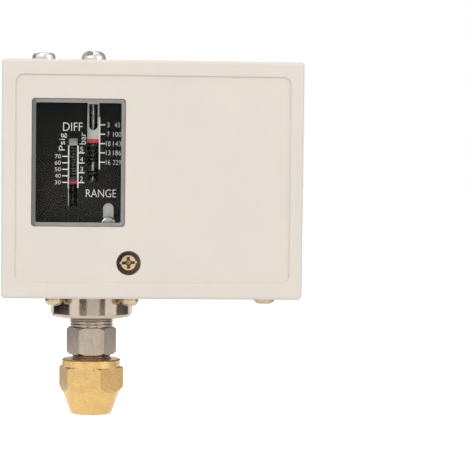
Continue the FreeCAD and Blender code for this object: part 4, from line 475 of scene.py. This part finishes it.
class SWITCH_OT_finishes(bpy.types.Operator):
    """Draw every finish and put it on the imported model's parts"""
    bl_idname = "pressure_switch.finishes"
    bl_label = "Finishes"

    def execute(self, context):
        c = context.scene.switch_colours
        for build in (grain_effect, edge_effect, thread_effect):
            build()
        hole_radius, drive_radius, core_radius = 3.5, 1.75, 0.6
        recess_top, recess_floor = HEAD_FRONT + 0.2, HEAD_FRONT + 0.5
        # After its colour each finish takes its roughness, the size or the scale of its marks, and their
        # depth. Sizes are in millimetres
        cover = moulding("Cream Cover", c.cover, 0.46, 0.35, 0.012, 0.35)
        # Painted shade inside the cover screw's hole, darker the deeper it goes and lighter at its right
        paint_recess_shade(cover, c.recess, HOLE_MIDDLE, hole_radius, unshaded_y=WINDOW_LOW.y - 0.2,
               dark_y=WINDOW_LOW.y + 0.9)
        clear_window("Clear Window")
        plated("Zinc Sheet", c.zinc, 0.4, even(1.1), 0.006)
        painted("Pointer Metal", c.pointer, 0.45, 0.8, 0.01)
        plated("Grey Spring Wire", c.fine_spring, 0.42, even(0.4), 0.006)
        plated("Yellow Zinc", c.yellow_zinc, 0.3, even(0.6), 0.006, dull=0.75)
        screw = plated("Cover Screw Zinc", c.screw, 0.3, even(0.5), 0.012, edge=0.1, dull=0.8)
        # Painted shade in the cover screw's cross recess, lighter in its middle and at its right
        paint_recess_shade(screw, c.drive, HOLE_MIDDLE, drive_radius, recess_top, recess_floor)
        paint_recess_shade(screw, c.core, HOLE_MIDDLE, core_radius, recess_top, recess_floor)
        plated("Clear Zinc", c.clear_zinc, 0.24, even(0.6), 0.005, dull=0.8)
        thread_top = 27.0
        threaded_metal("Range Thread", c.pointer, 0.8, thread_top)
        threaded_metal("Differential Thread", c.pointer, 0.7, thread_top)
        plated("Dark Spring Steel", c.spring, 0.26, even(0.5), 0.006)
        plate = painted("Scale Enamel", c.plate, 0.6, 4.0, 0.002, gloss=0.04)
        # Painted light on the scale plate, none near the window's top and full near its bottom
        paint_light_below(plate, c.dust_and_plate_light, unlit_z=WINDOW_HIGH.z - 3, lit_z=WINDOW_LOW.z + 8)
        moulding("Black Rubber", c.rubber, 0.7, 0.5, 0.02, 0.2)
        plated("Polished Nickel", c.nickel, 0.13, even(0.3), 0.004, dull=0.9, contrast=0.08)
        plated("Brushed Nickel", c.satin_nickel, 0.3, (4200.0, 4200.0, 160.0), 0.02, contrast=0.3)
        hammered_metal("Stamped Brass", c.brass, 0.26, 0.5, 0.007, 0.05)
        plated("Sheet Brass", c.brass, 0.3, (3000.0, 3000.0, 300.0), 0.004, dull=0.8)
        plated("Annealed Copper", c.copper, 0.36, even(0.8), 0.008, dull=0.78)
        plated("Spring Bronze", c.bronze, 0.32, (400.0, 2500.0, 2500.0), 0.005)
        moulding("Black Moulding", c.switch, 0.4, 0.6, 0.01, 0.25)
        plated("Contact Silver", c.silver, 0.2, even(0.5), 0.003)
        painted("White Print", c.figures, 0.5, 0.25, 0.004)
        painted("Red Marker", c.marker, 0.38, 0.5, 0.006)
        painted("Olive Paint", c.olive, 0.5, 0.5, 0.006)
        frosted("Frosted Rim", c.rim)
        for finish, nodes in NODE_FINISHES.items():
            for node in nodes:
                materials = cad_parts[node].data.materials
                materials.clear()
                materials.append(bpy.data.materials[finish])
        return {"FINISHED"}


# Building pieces

def add_piece(name, mesh, finish, body=None):
    """Adds a mesh as a piece with its finish. A piece with no body is left unattached."""
    piece = bpy.data.objects.new(name, mesh)
    bpy.context.scene.collection.objects.link(piece)
    mesh.materials.clear()
    mesh.materials.append(bpy.data.materials[finish])
    if body:
        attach(piece, body)
    return piece


def mesh_from(name, build, smooth=False):
    """A mesh that a function fills in, in millimetres."""
    bm = bmesh.new()
    build(bm)
    bmesh.ops.scale(bm, vec=(MM, MM, MM), verts=bm.verts)
    bmesh.ops.recalc_face_normals(bm, faces=bm.faces)
    for face in bm.faces:
        face.smooth = smooth
    mesh = bpy.data.meshes.new(name)
    bm.to_mesh(mesh)
    bm.free()
    return mesh


def add_slab(bm, x, z, front, back):
    """A flat block over a span across and a span up, between two depths."""
    size = Vector((x[1] - x[0], back - front, z[1] - z[0]))
    middle = Vector(((x[0] + x[1]) / 2, (front + back) / 2, (z[0] + z[1]) / 2))
    bmesh.ops.create_cube(bm, size=1.0, matrix=Matrix.Translation(middle) @ Matrix.Diagonal((*size, 1.0)))


# Print on the scale plate: text, its span across, its span up, and whether it reads upward
WORDS = [
    ("DIFF", (-24.33, -19.11), (13.05, 15.3), False),
    ("RANGE", (-18.04, -9.85), (-4.85, -2.72), False),
    ("Psig", (-25.42, -23.3), (7.73, 12.4), True),
    ("bar", (-19.85, -18.2), (9.45, 12.6), True),
]
LEFT_FIGURES = [("70", 6.15), ("60", 4.4), ("50", 2.63), ("40", 0.87), ("30", -0.9)]
RIGHT_FIGURES = [("5", 7.12), ("4", 4.38), ("3", 1.74), ("2", -0.92)]
RANGE_FIGURES = [("3", "43", 14.78), ("7", "100", 12.25), ("10", "143", 9.69), ("13", "186", 7.21),
                 ("16", "229", 4.65)]
# Each column of figures: its middle, one digit's room, how far its figures stand over their ticks and
# their height
LEFT_COLUMN = (-25.68, 0.86, 0.0, 1.1)
RIGHT_COLUMN = (-19.3, 0.9, 0.98, 1.3)
FIRST_COLUMN = (-12.12, 0.64, 0.0, 1.3)
SECOND_COLUMN = (-9.72, 0.76, 0.0, 1.3)
DIGIT_GAP = 0.1
# How far the strokes of the print are drawn in from the font's, as a share of the font's size
STROKE_OFFSET = -0.010
# The scales' upright lines, by their span across and their span up, and each scale's ticks across
UPRIGHTS = [((-22.96, -22.7), (-2.4, 9.1)), ((-20.4, -20.08), (-2.4, 9.1)),
            ((-22.84, -22.72), (-7.3, -2.4)), ((-14.66, -14.32), (2.7, 16.8))]
TICKS = [(LEFT_FIGURES, (-24.5, -22.96)), (RIGHT_FIGURES, (-20.08, -18.5)),
         (RANGE_FIGURES, (-14.32, -12.98))]


def lettered(text):
    """A raised mesh of some text, as Blender's own font draws it. Its size is fitted later."""
    curve = bpy.data.curves.new("print", "FONT")
    curve.body = text
    curve.resolution_u = 4
    curve.offset = STROKE_OFFSET
    curve.extrude = 0.5
    holder = bpy.data.objects.new("print", curve)
    bpy.context.scene.collection.objects.link(holder)
    bpy.context.view_layer.update()
    mesh = bpy.data.meshes.new_from_object(holder.evaluated_get(bpy.context.evaluated_depsgraph_get()))
    bpy.data.objects.remove(holder)
    bpy.data.curves.remove(curve)
    return mesh


def add_print(bm, text, across, up, upright, height):
    """Fits some text's mesh to its place on the scale plate."""
    mesh = lettered(text)
    points = [v.co.copy() for v in mesh.vertices]
    if upright:
        points = [Vector((-p.y, p.x, p.z)) for p in points]
    low = Vector([min(p[i] for p in points) for i in range(3)])
    high = Vector([max(p[i] for p in points) for i in range(3)])
    placed = []
    for p in points:
        x = across[0] + (p.x - low.x) / (high.x - low.x) * (across[1] - across[0])
        z = up[0] + (p.y - low.y) / (high.y - low.y) * (up[1] - up[0])
        y = PLATE_FRONT - (p.z - low.z) / (high.z - low.z) * height
        placed.append(bm.verts.new((x, y, z)))
    for polygon in mesh.polygons:
        bm.faces.new([placed[i] for i in polygon.vertices])
    bpy.data.meshes.remove(mesh)


def add_figure(bm, text, column, level, height):
    """A number of the scale, centred on its column."""
    middle, digit, rise, tall = column
    half = (digit * len(text) - DIGIT_GAP) / 2
    low = level + rise - tall / 2
    add_print(bm, text, (middle - half, middle + half), (low, low + tall), False, height)


def fill_figures(bm, height):
    for text, across, up, upright in WORDS:
        add_print(bm, text, across, up, upright, height)
    for text, level in LEFT_FIGURES:
        add_figure(bm, text, LEFT_COLUMN, level, height)
    for text, level in RIGHT_FIGURES:
        add_figure(bm, text, RIGHT_COLUMN, level, height)
    for first, second, level in RANGE_FIGURES:
        add_figure(bm, first, FIRST_COLUMN, level, height)
        add_figure(bm, second, SECOND_COLUMN, level, height)


def fill_lines(bm, height, stroke):
    """The scales' edges and their ticks."""
    front, back = PLATE_FRONT - height, PLATE_FRONT
    for across, up in UPRIGHTS:
        add_slab(bm, across, up, front, back)
    for figures, across in TICKS:
        for *_, level in figures:
            add_slab(bm, across, (level - stroke / 2, level + stroke / 2), front, back)


class SWITCH_OT_scale_print(bpy.types.Operator):
    """Print the figures and the lines on the scale plate"""
    bl_idname = "pressure_switch.scale_print"
    bl_label = "Scale Print"

    def execute(self, context):
        sizes = context.scene.switch_sizes
        height, stroke = sizes.print_height / MM, sizes.stroke / MM
        figures = mesh_from("scale_figures", lambda bm: fill_figures(bm, height))
        lines = mesh_from("scale_lines", lambda bm: fill_lines(bm, height, stroke))
        add_piece("scale_figures", figures, "White Print", "housing")
        add_piece("scale_lines", lines, "White Print", "housing")
        return {"FINISHED"}


# Coats of paint on the pointers: name, node, body, finish, half width, and the coat's foot and head, over
# the node's foot
MARKS = [
    ("range_mark", "range_pointer", "range_seat", "Red Marker", 1.55, 0.0, 1.0),
    ("diff_mark", "diff_pointer", "diff_seat", "Red Marker", 1.1, 0.0, 0.8),
    ("diff_shade", "diff_pointer", "diff_seat", "Olive Paint", 1.1, 0.8, 1.7),
]
# The two tips of the fork, from the pointer's middle, and a pale strip on the bar across the top of the
# range slot: a painted highlight, as the bar lies in shade
TIP_INNER, TIP_OUTER, TIP_RISE, TIP_THICKNESS = 1.15, 2.5, 0.95, 0.6
HIGHLIGHT_HALF, HIGHLIGHT_SPAN, HIGHLIGHT_THICKNESS, HIGHLIGHT_DEPTH = 1.58, (20.36, 20.88), 0.5, 0.05


class SWITCH_OT_pointer_marks(bpy.types.Operator):
    """Paint the marks on the two pointers, finish the fork and lay a painted highlight on the bar at the
    top of the range slot
    """
    bl_idname = "pressure_switch.pointer_marks"
    bl_label = "Pointer Marks"

    def execute(self, context):
        coat = context.scene.switch_sizes.print_height / MM
        for name, node, body, finish, half, low, high in MARKS:
            start, end = node_box(node)
            middle = (start.x + end.x) / 2

            def paint(bm):
                add_slab(bm, (middle - half, middle + half), (start.z + low, start.z + high),
                         start.y - coat, start.y)
            add_piece(name, mesh_from(name, paint), finish, body)
        start, end = node_box("range_pointer")
        middle, top, base = (start.x + end.x) / 2, end.z, PLATE_FRONT + HIGHLIGHT_DEPTH

        def tips(bm):
            for side in (-1, 1):
                across = sorted((middle + side * TIP_INNER, middle + side * TIP_OUTER))
                add_slab(bm, across, (top, top + TIP_RISE), start.y, start.y + TIP_THICKNESS)

        # A pale strip on the frame's bar: a painted highlight where the bar lies in shade
        def bar(bm):
            add_slab(bm, (middle - HIGHLIGHT_HALF, middle + HIGHLIGHT_HALF), HIGHLIGHT_SPAN, base, base + HIGHLIGHT_THICKNESS)
        add_piece("fork_tips", mesh_from("fork_tips", tips), "Pointer Metal", "range_seat")
        add_piece("slot_bar", mesh_from("slot_bar", bar), "Pointer Metal", "housing")
        return {"FINISHED"}


def ring_outline(x0, x1, z0, z1, radius, steps=6):
    """The corners of a rounded rectangle, going round."""
    points = []
    for cx, cz, start in ((x1 - radius, z1 - radius, 0), (x0 + radius, z1 - radius, 90),
                          (x0 + radius, z0 + radius, 180), (x1 - radius, z0 + radius, 270)):
        for i in range(steps + 1):
            angle = math.radians(start + 90 * i / steps)
            points.append((cx + radius * math.cos(angle), cz + radius * math.sin(angle)))
    return points


class SWITCH_OT_window_rim(bpy.types.Operator):
    """Frost the window's edge, where its walls are seen end on"""
    bl_idname = "pressure_switch.window_rim"
    bl_label = "Window Rim"

    def execute(self, context):
        sizes = context.scene.switch_sizes
        width, height = sizes.rim_width / MM, sizes.rim_height / MM
        x0, x1 = WINDOW_LOW.x + WINDOW_FLANGE, WINDOW_HIGH.x - WINDOW_FLANGE
        z0, z1 = WINDOW_LOW.z + WINDOW_FLANGE, WINDOW_HIGH.z - WINDOW_FLANGE
        slope = 0.08
        # The rim's section: inset, corner radius and how far it stands out
        section = [(0.0, 0.85, 0.0), (slope, 0.8, height), (width, 0.5, height), (width + slope, 0.45, 0.0)]

        def fill(bm):
            loops = []
            for inset, radius, depth in section:
                outline = ring_outline(x0 + inset, x1 - inset, z0 + inset, z1 - inset, radius)
                loops.append([bm.verts.new((x, WINDOW_LOW.y - depth, z)) for x, z in outline])
            for outer, inner in zip(loops, loops[1:] + loops[:1]):
                for i in range(len(outer)):
                    j = (i + 1) % len(outer)
                    bm.faces.new((outer[i], outer[j], inner[j], inner[i]))
        add_piece("window_rim", mesh_from("window_rim", fill), "Frosted Rim", "housing")
        return {"FINISHED"}


def fill_tube(bm, path, radius, around=12):
    """A round wire along a path of points."""
    rings = []
    for i, point in enumerate(path):
        ahead = path[min(i + 1, len(path) - 1)] - path[max(i - 1, 0)]
        side = ahead.cross(Vector((0, 0, 1))).normalized()
        rise = side.cross(ahead).normalized()
        angles = [2 * math.pi * k / around for k in range(around)]
        rings.append([bm.verts.new(point + (side * math.cos(a) + rise * math.sin(a)) * radius)
                      for a in angles])
    for first, second in zip(rings, rings[1:]):
        for k in range(around):
            j = (k + 1) % around
            bm.faces.new((first[k], first[j], second[j], second[k]))
    bm.faces.new(rings[0])
    bm.faces.new(rings[-1])


# How far a closed turn rises, in wire radii
CLOSED_RISE = 2.04


def coil_path(x, y, low, high, coil, wire, turns, closed=1.0, steps=40):
    """A helix between two levels, its first and last turns wound close."""
    total = turns + 2 * closed
    close_rise = closed * wire * CLOSED_RISE
    open_rise = high - low - 2 * wire - 2 * close_rise
    path = []
    for i in range(int(total * steps) + 1):
        turn = i / steps
        if turn < closed:
            rise = turn / closed * close_rise
        elif turn < closed + turns:
            rise = close_rise + (turn - closed) / turns * open_rise
        else:
            rise = close_rise + open_rise + (turn - closed - turns) / closed * close_rise
        angle = 2 * math.pi * turn
        path.append(Vector((x + coil * math.cos(angle), y + coil * math.sin(angle), low + wire + rise)))
    return path


def spring_path(node, coil, wire, turns):
    low, high = node_box(node)
    return coil_path((low.x + high.x) / 2, (low.y + high.y) / 2, low.z, high.z, coil, wire, turns)


def add_coil(name, node, finish, path, wire):
    """A length of coil as a piece of its own, with the node it stands for hidden."""
    mesh = mesh_from(name, lambda bm: fill_tube(bm, path, wire), smooth=True)
    piece = add_piece(name, mesh, finish)
    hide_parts(node)
    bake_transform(piece)


class SWITCH_OT_springs(bpy.types.Operator):
    """Wind the range spring and the differential spring"""
    bl_idname = "pressure_switch.springs"
    bl_label = "Springs"

    def execute(self, context):
        s = context.scene.switch_sizes
        wire = s.range_wire / MM
        path = spring_path("range_spring", s.range_coil / MM, wire, s.range_turns)
        foot_height = 4 * wire
        cut = next(i for i, p in enumerate(path) if p.z > path[0].z + foot_height)
        add_coil("range_coil_foot", "range_spring", "Dark Spring Steel", path[:cut + 1], wire)
        add_coil("range_coil", "range_spring", "Dark Spring Steel", path[cut:], wire)
        wire = s.diff_wire / MM
        path = spring_path("diff_spring", s.diff_coil / MM, wire, s.diff_turns)
        add_coil("diff_coil", "diff_spring", "Grey Spring Wire", path, wire)
        return {"FINISHED"}


class SWITCH_OT_bellows(bpy.types.Operator):
    """Form the bronze bellows inside the cup"""
    bl_idname = "pressure_switch.bellows"
    bl_label = "Bellows"

    def execute(self, context):
        low, high = node_box("bellows")
        x, y = (low.x + high.x) / 2, (low.y + high.y) / 2
        outer, inner, folds = (high.x - low.x) / 2, 7.05, 3
        wall = context.scene.switch_sizes.bellows_wall / MM
        steps, around = 48, 72
        middle, swing = (outer + inner + wall) / 2, (outer - inner - wall) / 2

        def fill(bm):
            profile = []
            for i in range(steps + 1):
                t = i / steps
                r = middle - swing * math.cos(2 * math.pi * folds * t)
                profile.append((r, low.z + (high.z - low.z) * t))
            section = profile + [(r - wall, z) for r, z in reversed(profile)]
            rings = []
            for k in range(around):
                angle = 2 * math.pi * k / around
                rings.append([bm.verts.new((x + r * math.cos(angle), y + r * math.sin(angle), z))
                              for r, z in section])
            for k in range(around):
                first, second = rings[k], rings[(k + 1) % around]
                for i in range(len(section)):
                    j = (i + 1) % len(section)
                    bm.faces.new((first[i], first[j], second[j], second[i]))
        piece = add_piece("bellows_folds", mesh_from("bellows_folds", fill, smooth=True), "Spring Bronze")
        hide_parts("bellows")
        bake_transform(piece)
        return {"FINISHED"}


# The studio

def emptied(owner):
    """A graph for the node tree of a material or a world, with nothing in it."""
    owner.use_nodes = True
    owner.node_tree.nodes.clear()
    return Graph(owner.node_tree)


CAMERA_PLACE = Vector((-17.45, -589.8, 9.9)) * MM
CAMERA_YAW, CAMERA_PITCH, CAMERA_ROLL = math.radians(4.15), math.radians(-2.555), math.radians(0.655)
CAMERA_VIEW = math.radians(13.202)

# Each lamp's place, what it is aimed at and its two sizes, in metres. Its power is the setting of its name
LAMPS = {
    "Key": ((-0.45, -0.6, 0.6), (-0.01, -0.02, 0), (0.5, 0.5)),
    "Fill": ((0.6, -0.45, 0.2), (0, -0.02, -0.01), (0.5, 0.6)),
    "Top": ((0.0, 0.1, 0.8), (0, -0.02, 0), (0.7, 0.5)),
}
FLOOR_SIZE = 3.0
FLOOR_TONES = (0.84, 0.84, 0.84, 1), (0.87, 0.87, 0.87, 1)
FLOOR_GLOW = 0.62
WHITE = (1, 1, 1, 1)


def add_camera(scene):
    """The camera at the picture's viewing angle."""
    ahead = Vector((math.sin(CAMERA_YAW) * math.cos(CAMERA_PITCH),
                    math.cos(CAMERA_YAW) * math.cos(CAMERA_PITCH), math.sin(CAMERA_PITCH)))
    right = ahead.cross(Vector((0, 0, 1))).normalized()
    above = right.cross(ahead)
    turned_right = right * math.cos(CAMERA_ROLL) + above * math.sin(CAMERA_ROLL)
    turned_above = above * math.cos(CAMERA_ROLL) - right * math.sin(CAMERA_ROLL)
    camera = bpy.data.cameras.new("Camera")
    camera.sensor_width = 36.0
    camera.lens_unit = "FOV"
    camera.angle = CAMERA_VIEW
    camera.clip_start = 0.01
    holder = bpy.data.objects.new("Camera", camera)
    axes = Matrix((turned_right, turned_above, -ahead)).transposed().to_4x4()
    holder.matrix_world = Matrix.Translation(CAMERA_PLACE) @ axes
    scene.collection.objects.link(holder)
    scene.camera = holder


def add_lamp(scene, name, place, aim, size, power):
    lamp = bpy.data.lights.new(name, "AREA")
    lamp.shape = "RECTANGLE"
    lamp.size, lamp.size_y = size
    lamp.energy = power
    holder = bpy.data.objects.new(name, lamp)
    holder.location = place
    holder.rotation_euler = (Vector(aim) - Vector(place)).to_track_quat("-Z", "Y").to_euler()
    scene.collection.objects.link(holder)


def floor_material():
    """A plain pale floor: white to the eye and in reflections, with the object's shadow kept."""
    material = bpy.data.materials.new("Pale Floor")
    g = emptied(material)
    path = g.put("LightPath").outputs
    seen = g.maths("MAXIMUM", path["Is Camera Ray"],
                   g.maths("MAXIMUM", path["Is Glossy Ray"], path["Is Transmission Ray"]))
    # Uneven dust tone on the floor
    dust_and_plate_light = stretched_noise(g, (30.0, 30.0, 30.0), detail=2.0)
    paint = g.put("BsdfDiffuse", {"Color": g.tint(dust_and_plate_light, *FLOOR_TONES)})
    white = g.put("Emission", {"Color": WHITE, "Strength": g.maths("MULTIPLY", seen, FLOOR_GLOW)})
    mixed = g.put("AddShader", {0: paint.outputs[0], 1: white.outputs[0]})
    under = g.put("NewGeometry").outputs["Backfacing"]
    whole = g.put("MixShader", {0: under, 1: mixed.outputs[0], 2: g.put("BsdfTransparent").outputs[0]})
    g.put("OutputMaterial", {"Surface": whole.outputs[0]})
    return material


# How bright the surroundings look in the metal, by the angle round from the front, in degrees
SURROUNDINGS = [(-180, 0.6), (-150, 0.25), (-110, 0.5), (-75, 1.0), (75, 1.0), (110, 0.5), (150, 0.25),
                (180, 0.6)]
# Cards for the bright metal to show: the angles round from the front that each spans, in degrees, its
# distance from the fitting, its foot and its head, in millimetres, and how bright it is
CARDS = [
    (-35, -14, 300, -65, 0, 0.0), (-13.9, 21.9, 300, -65, 0, 0.92), (22, 38, 300, -65, 0, 0.0),
    (-60, -37, 300, -65, 0, 1.5), (40, 66, 300, -65, 0, 1.35),
    (-133, -62, 100, -47.5, 0, 0.01), (70, 122, 100, -47.5, 0, 0.12),
    (-172, -154, 80, -46, 0, 0.0), (154, 172, 80, -46, 0, 0.0),
    (-145, -95, 100, -60, -47.6, 0.72), (95, 145, 100, -60, -47.6, 0.75),
    (-170, -130, 100, -72, -60.1, 0.56), (65, 115, 100, -72, -60.1, 0.7),
]
CARD_FACETS = 8


def build_world(scene, sky):
    """White behind the object, even light on it, and darker sides for the bright metal to show."""
    world = bpy.data.worlds.new("Studio")
    scene.world = world
    g = emptied(world)
    way = g.put("SeparateXYZ", {0: g.put("TexCoord").outputs["Generated"]}).outputs
    round_angle = g.maths("ARCTAN2", way[0], g.maths("MULTIPLY", way[1], -1.0))
    share = g.spread(round_angle, -math.pi, math.pi)
    ramp = g.put("ValToRGB", {0: share})
    stops = ramp.color_ramp.elements
    ends = {-180: stops[0], 180: stops[1]}
    for angle, value in SURROUNDINGS:
        stop = ends.get(angle) or stops.new((angle + 180) / 360)
        stop.color = (value, value, value, 1.0)
    path = g.put("LightPath").outputs
    shine = g.tint(path["Is Glossy Ray"], (sky, sky, sky, 1), ramp.outputs[0])
    seen = g.maths("MAXIMUM", path["Is Camera Ray"], path["Is Transmission Ray"])
    light = g.tint(seen, shine, WHITE)
    background = g.put("Background", {"Color": light, "Strength": 1.0})
    g.put("OutputWorld", {"Surface": background.outputs[0]})


def card_material(brightness):
    """An evenly lit card."""
    material = bpy.data.materials.new("Card")
    material.cycles.emission_sampling = "NONE"
    g = emptied(material)
    light = g.put("Emission", {"Color": WHITE, "Strength": brightness})
    g.put("OutputMaterial", {"Surface": light.outputs[0]})
    return material


def add_cards(scene):
    """Curved cards round the fitting, seen only in reflections."""
    bm = bmesh.new()
    mesh = bpy.data.meshes.new("Cards")
    for index, (start, end, distance, foot, head, brightness) in enumerate(CARDS):
        mesh.materials.append(card_material(brightness))
        columns = []
        for i in range(CARD_FACETS + 1):
            angle = math.radians(start + (end - start) * i / CARD_FACETS)
            x = FITTING.x + distance * math.sin(angle)
            y = FITTING.y - distance * math.cos(angle)
            columns.append([bm.verts.new(Vector((x, y, z)) * MM) for z in (foot, head)])
        for first, second in zip(columns, columns[1:]):
            bm.faces.new((first[0], second[0], second[1], first[1])).material_index = index
    bm.to_mesh(mesh)
    bm.free()
    cards = bpy.data.objects.new("Cards", mesh)
    for kind in ("camera", "diffuse", "transmission", "volume_scatter", "shadow"):
        setattr(cards, "visible_" + kind, False)
    scene.collection.objects.link(cards)


class SWITCH_OT_studio(bpy.types.Operator):
    """Set up the floor, the lamps, the surroundings and the camera"""
    bl_idname = "pressure_switch.studio"
    bl_label = "Studio"

    def execute(self, context):
        scene = context.scene
        light = scene.switch_light
        level = CAD_BOX[0][2] - scene.switch_sizes.floor_gap
        bm = bmesh.new()
        bmesh.ops.create_grid(bm, x_segments=4, y_segments=4, size=FLOOR_SIZE,
                              matrix=Matrix.Translation((0, 0, level)))
        mesh = bpy.data.meshes.new("Floor")
        bm.to_mesh(mesh)
        bm.free()
        floor = bpy.data.objects.new("Floor", mesh)
        mesh.materials.append(floor_material())
        scene.collection.objects.link(floor)
        add_cards(scene)
        for name, (place, aim, size) in LAMPS.items():
            add_lamp(scene, name, place, aim, size, getattr(light, name.lower()))
        build_world(scene, light.sky)
        add_camera(scene)
        scene.view_settings.view_transform = "Standard"
        return {"FINISHED"}


OPERATORS = [SWITCH_OT_finishes, SWITCH_OT_scale_print, SWITCH_OT_pointer_marks, SWITCH_OT_window_rim,
             SWITCH_OT_springs, SWITCH_OT_bellows, SWITCH_OT_studio]


class SWITCH_PT_dresser(bpy.types.Panel):
    """Lists the pieces, their sizes and the colours"""
    bl_label = "Pressure Switch"
    bl_idname = "SWITCH_PT_dresser"
    bl_space_type = "VIEW_3D"
    bl_region_type = "UI"
    bl_category = "Pressure Switch"

    def draw(self, context):
        for operator in OPERATORS:
            self.layout.operator(operator.bl_idname)
        for group in (context.scene.switch_sizes, context.scene.switch_colours, context.scene.switch_light):
            for name in group.__annotations__:
                self.layout.prop(group, name)


CLASSES = [FinishColours, PieceSizes, StudioLight, *OPERATORS, SWITCH_PT_dresser]


def register():
    for item in CLASSES:
        bpy.utils.register_class(item)
    bpy.types.Scene.switch_colours = PointerProperty(type=FinishColours)
    bpy.types.Scene.switch_sizes = PointerProperty(type=PieceSizes)
    bpy.types.Scene.switch_light = PointerProperty(type=StudioLight)


def unregister():
    del bpy.types.Scene.switch_light
    del bpy.types.Scene.switch_sizes
    del bpy.types.Scene.switch_colours
    for item in reversed(CLASSES):
        bpy.utils.unregister_class(item)


def main():
    """Builds every piece in order."""
    register()
    for operator in OPERATORS:
        getattr(bpy.ops.pressure_switch, operator.bl_idname.split(".")[1])()


if __name__ == "__main__":
    main()
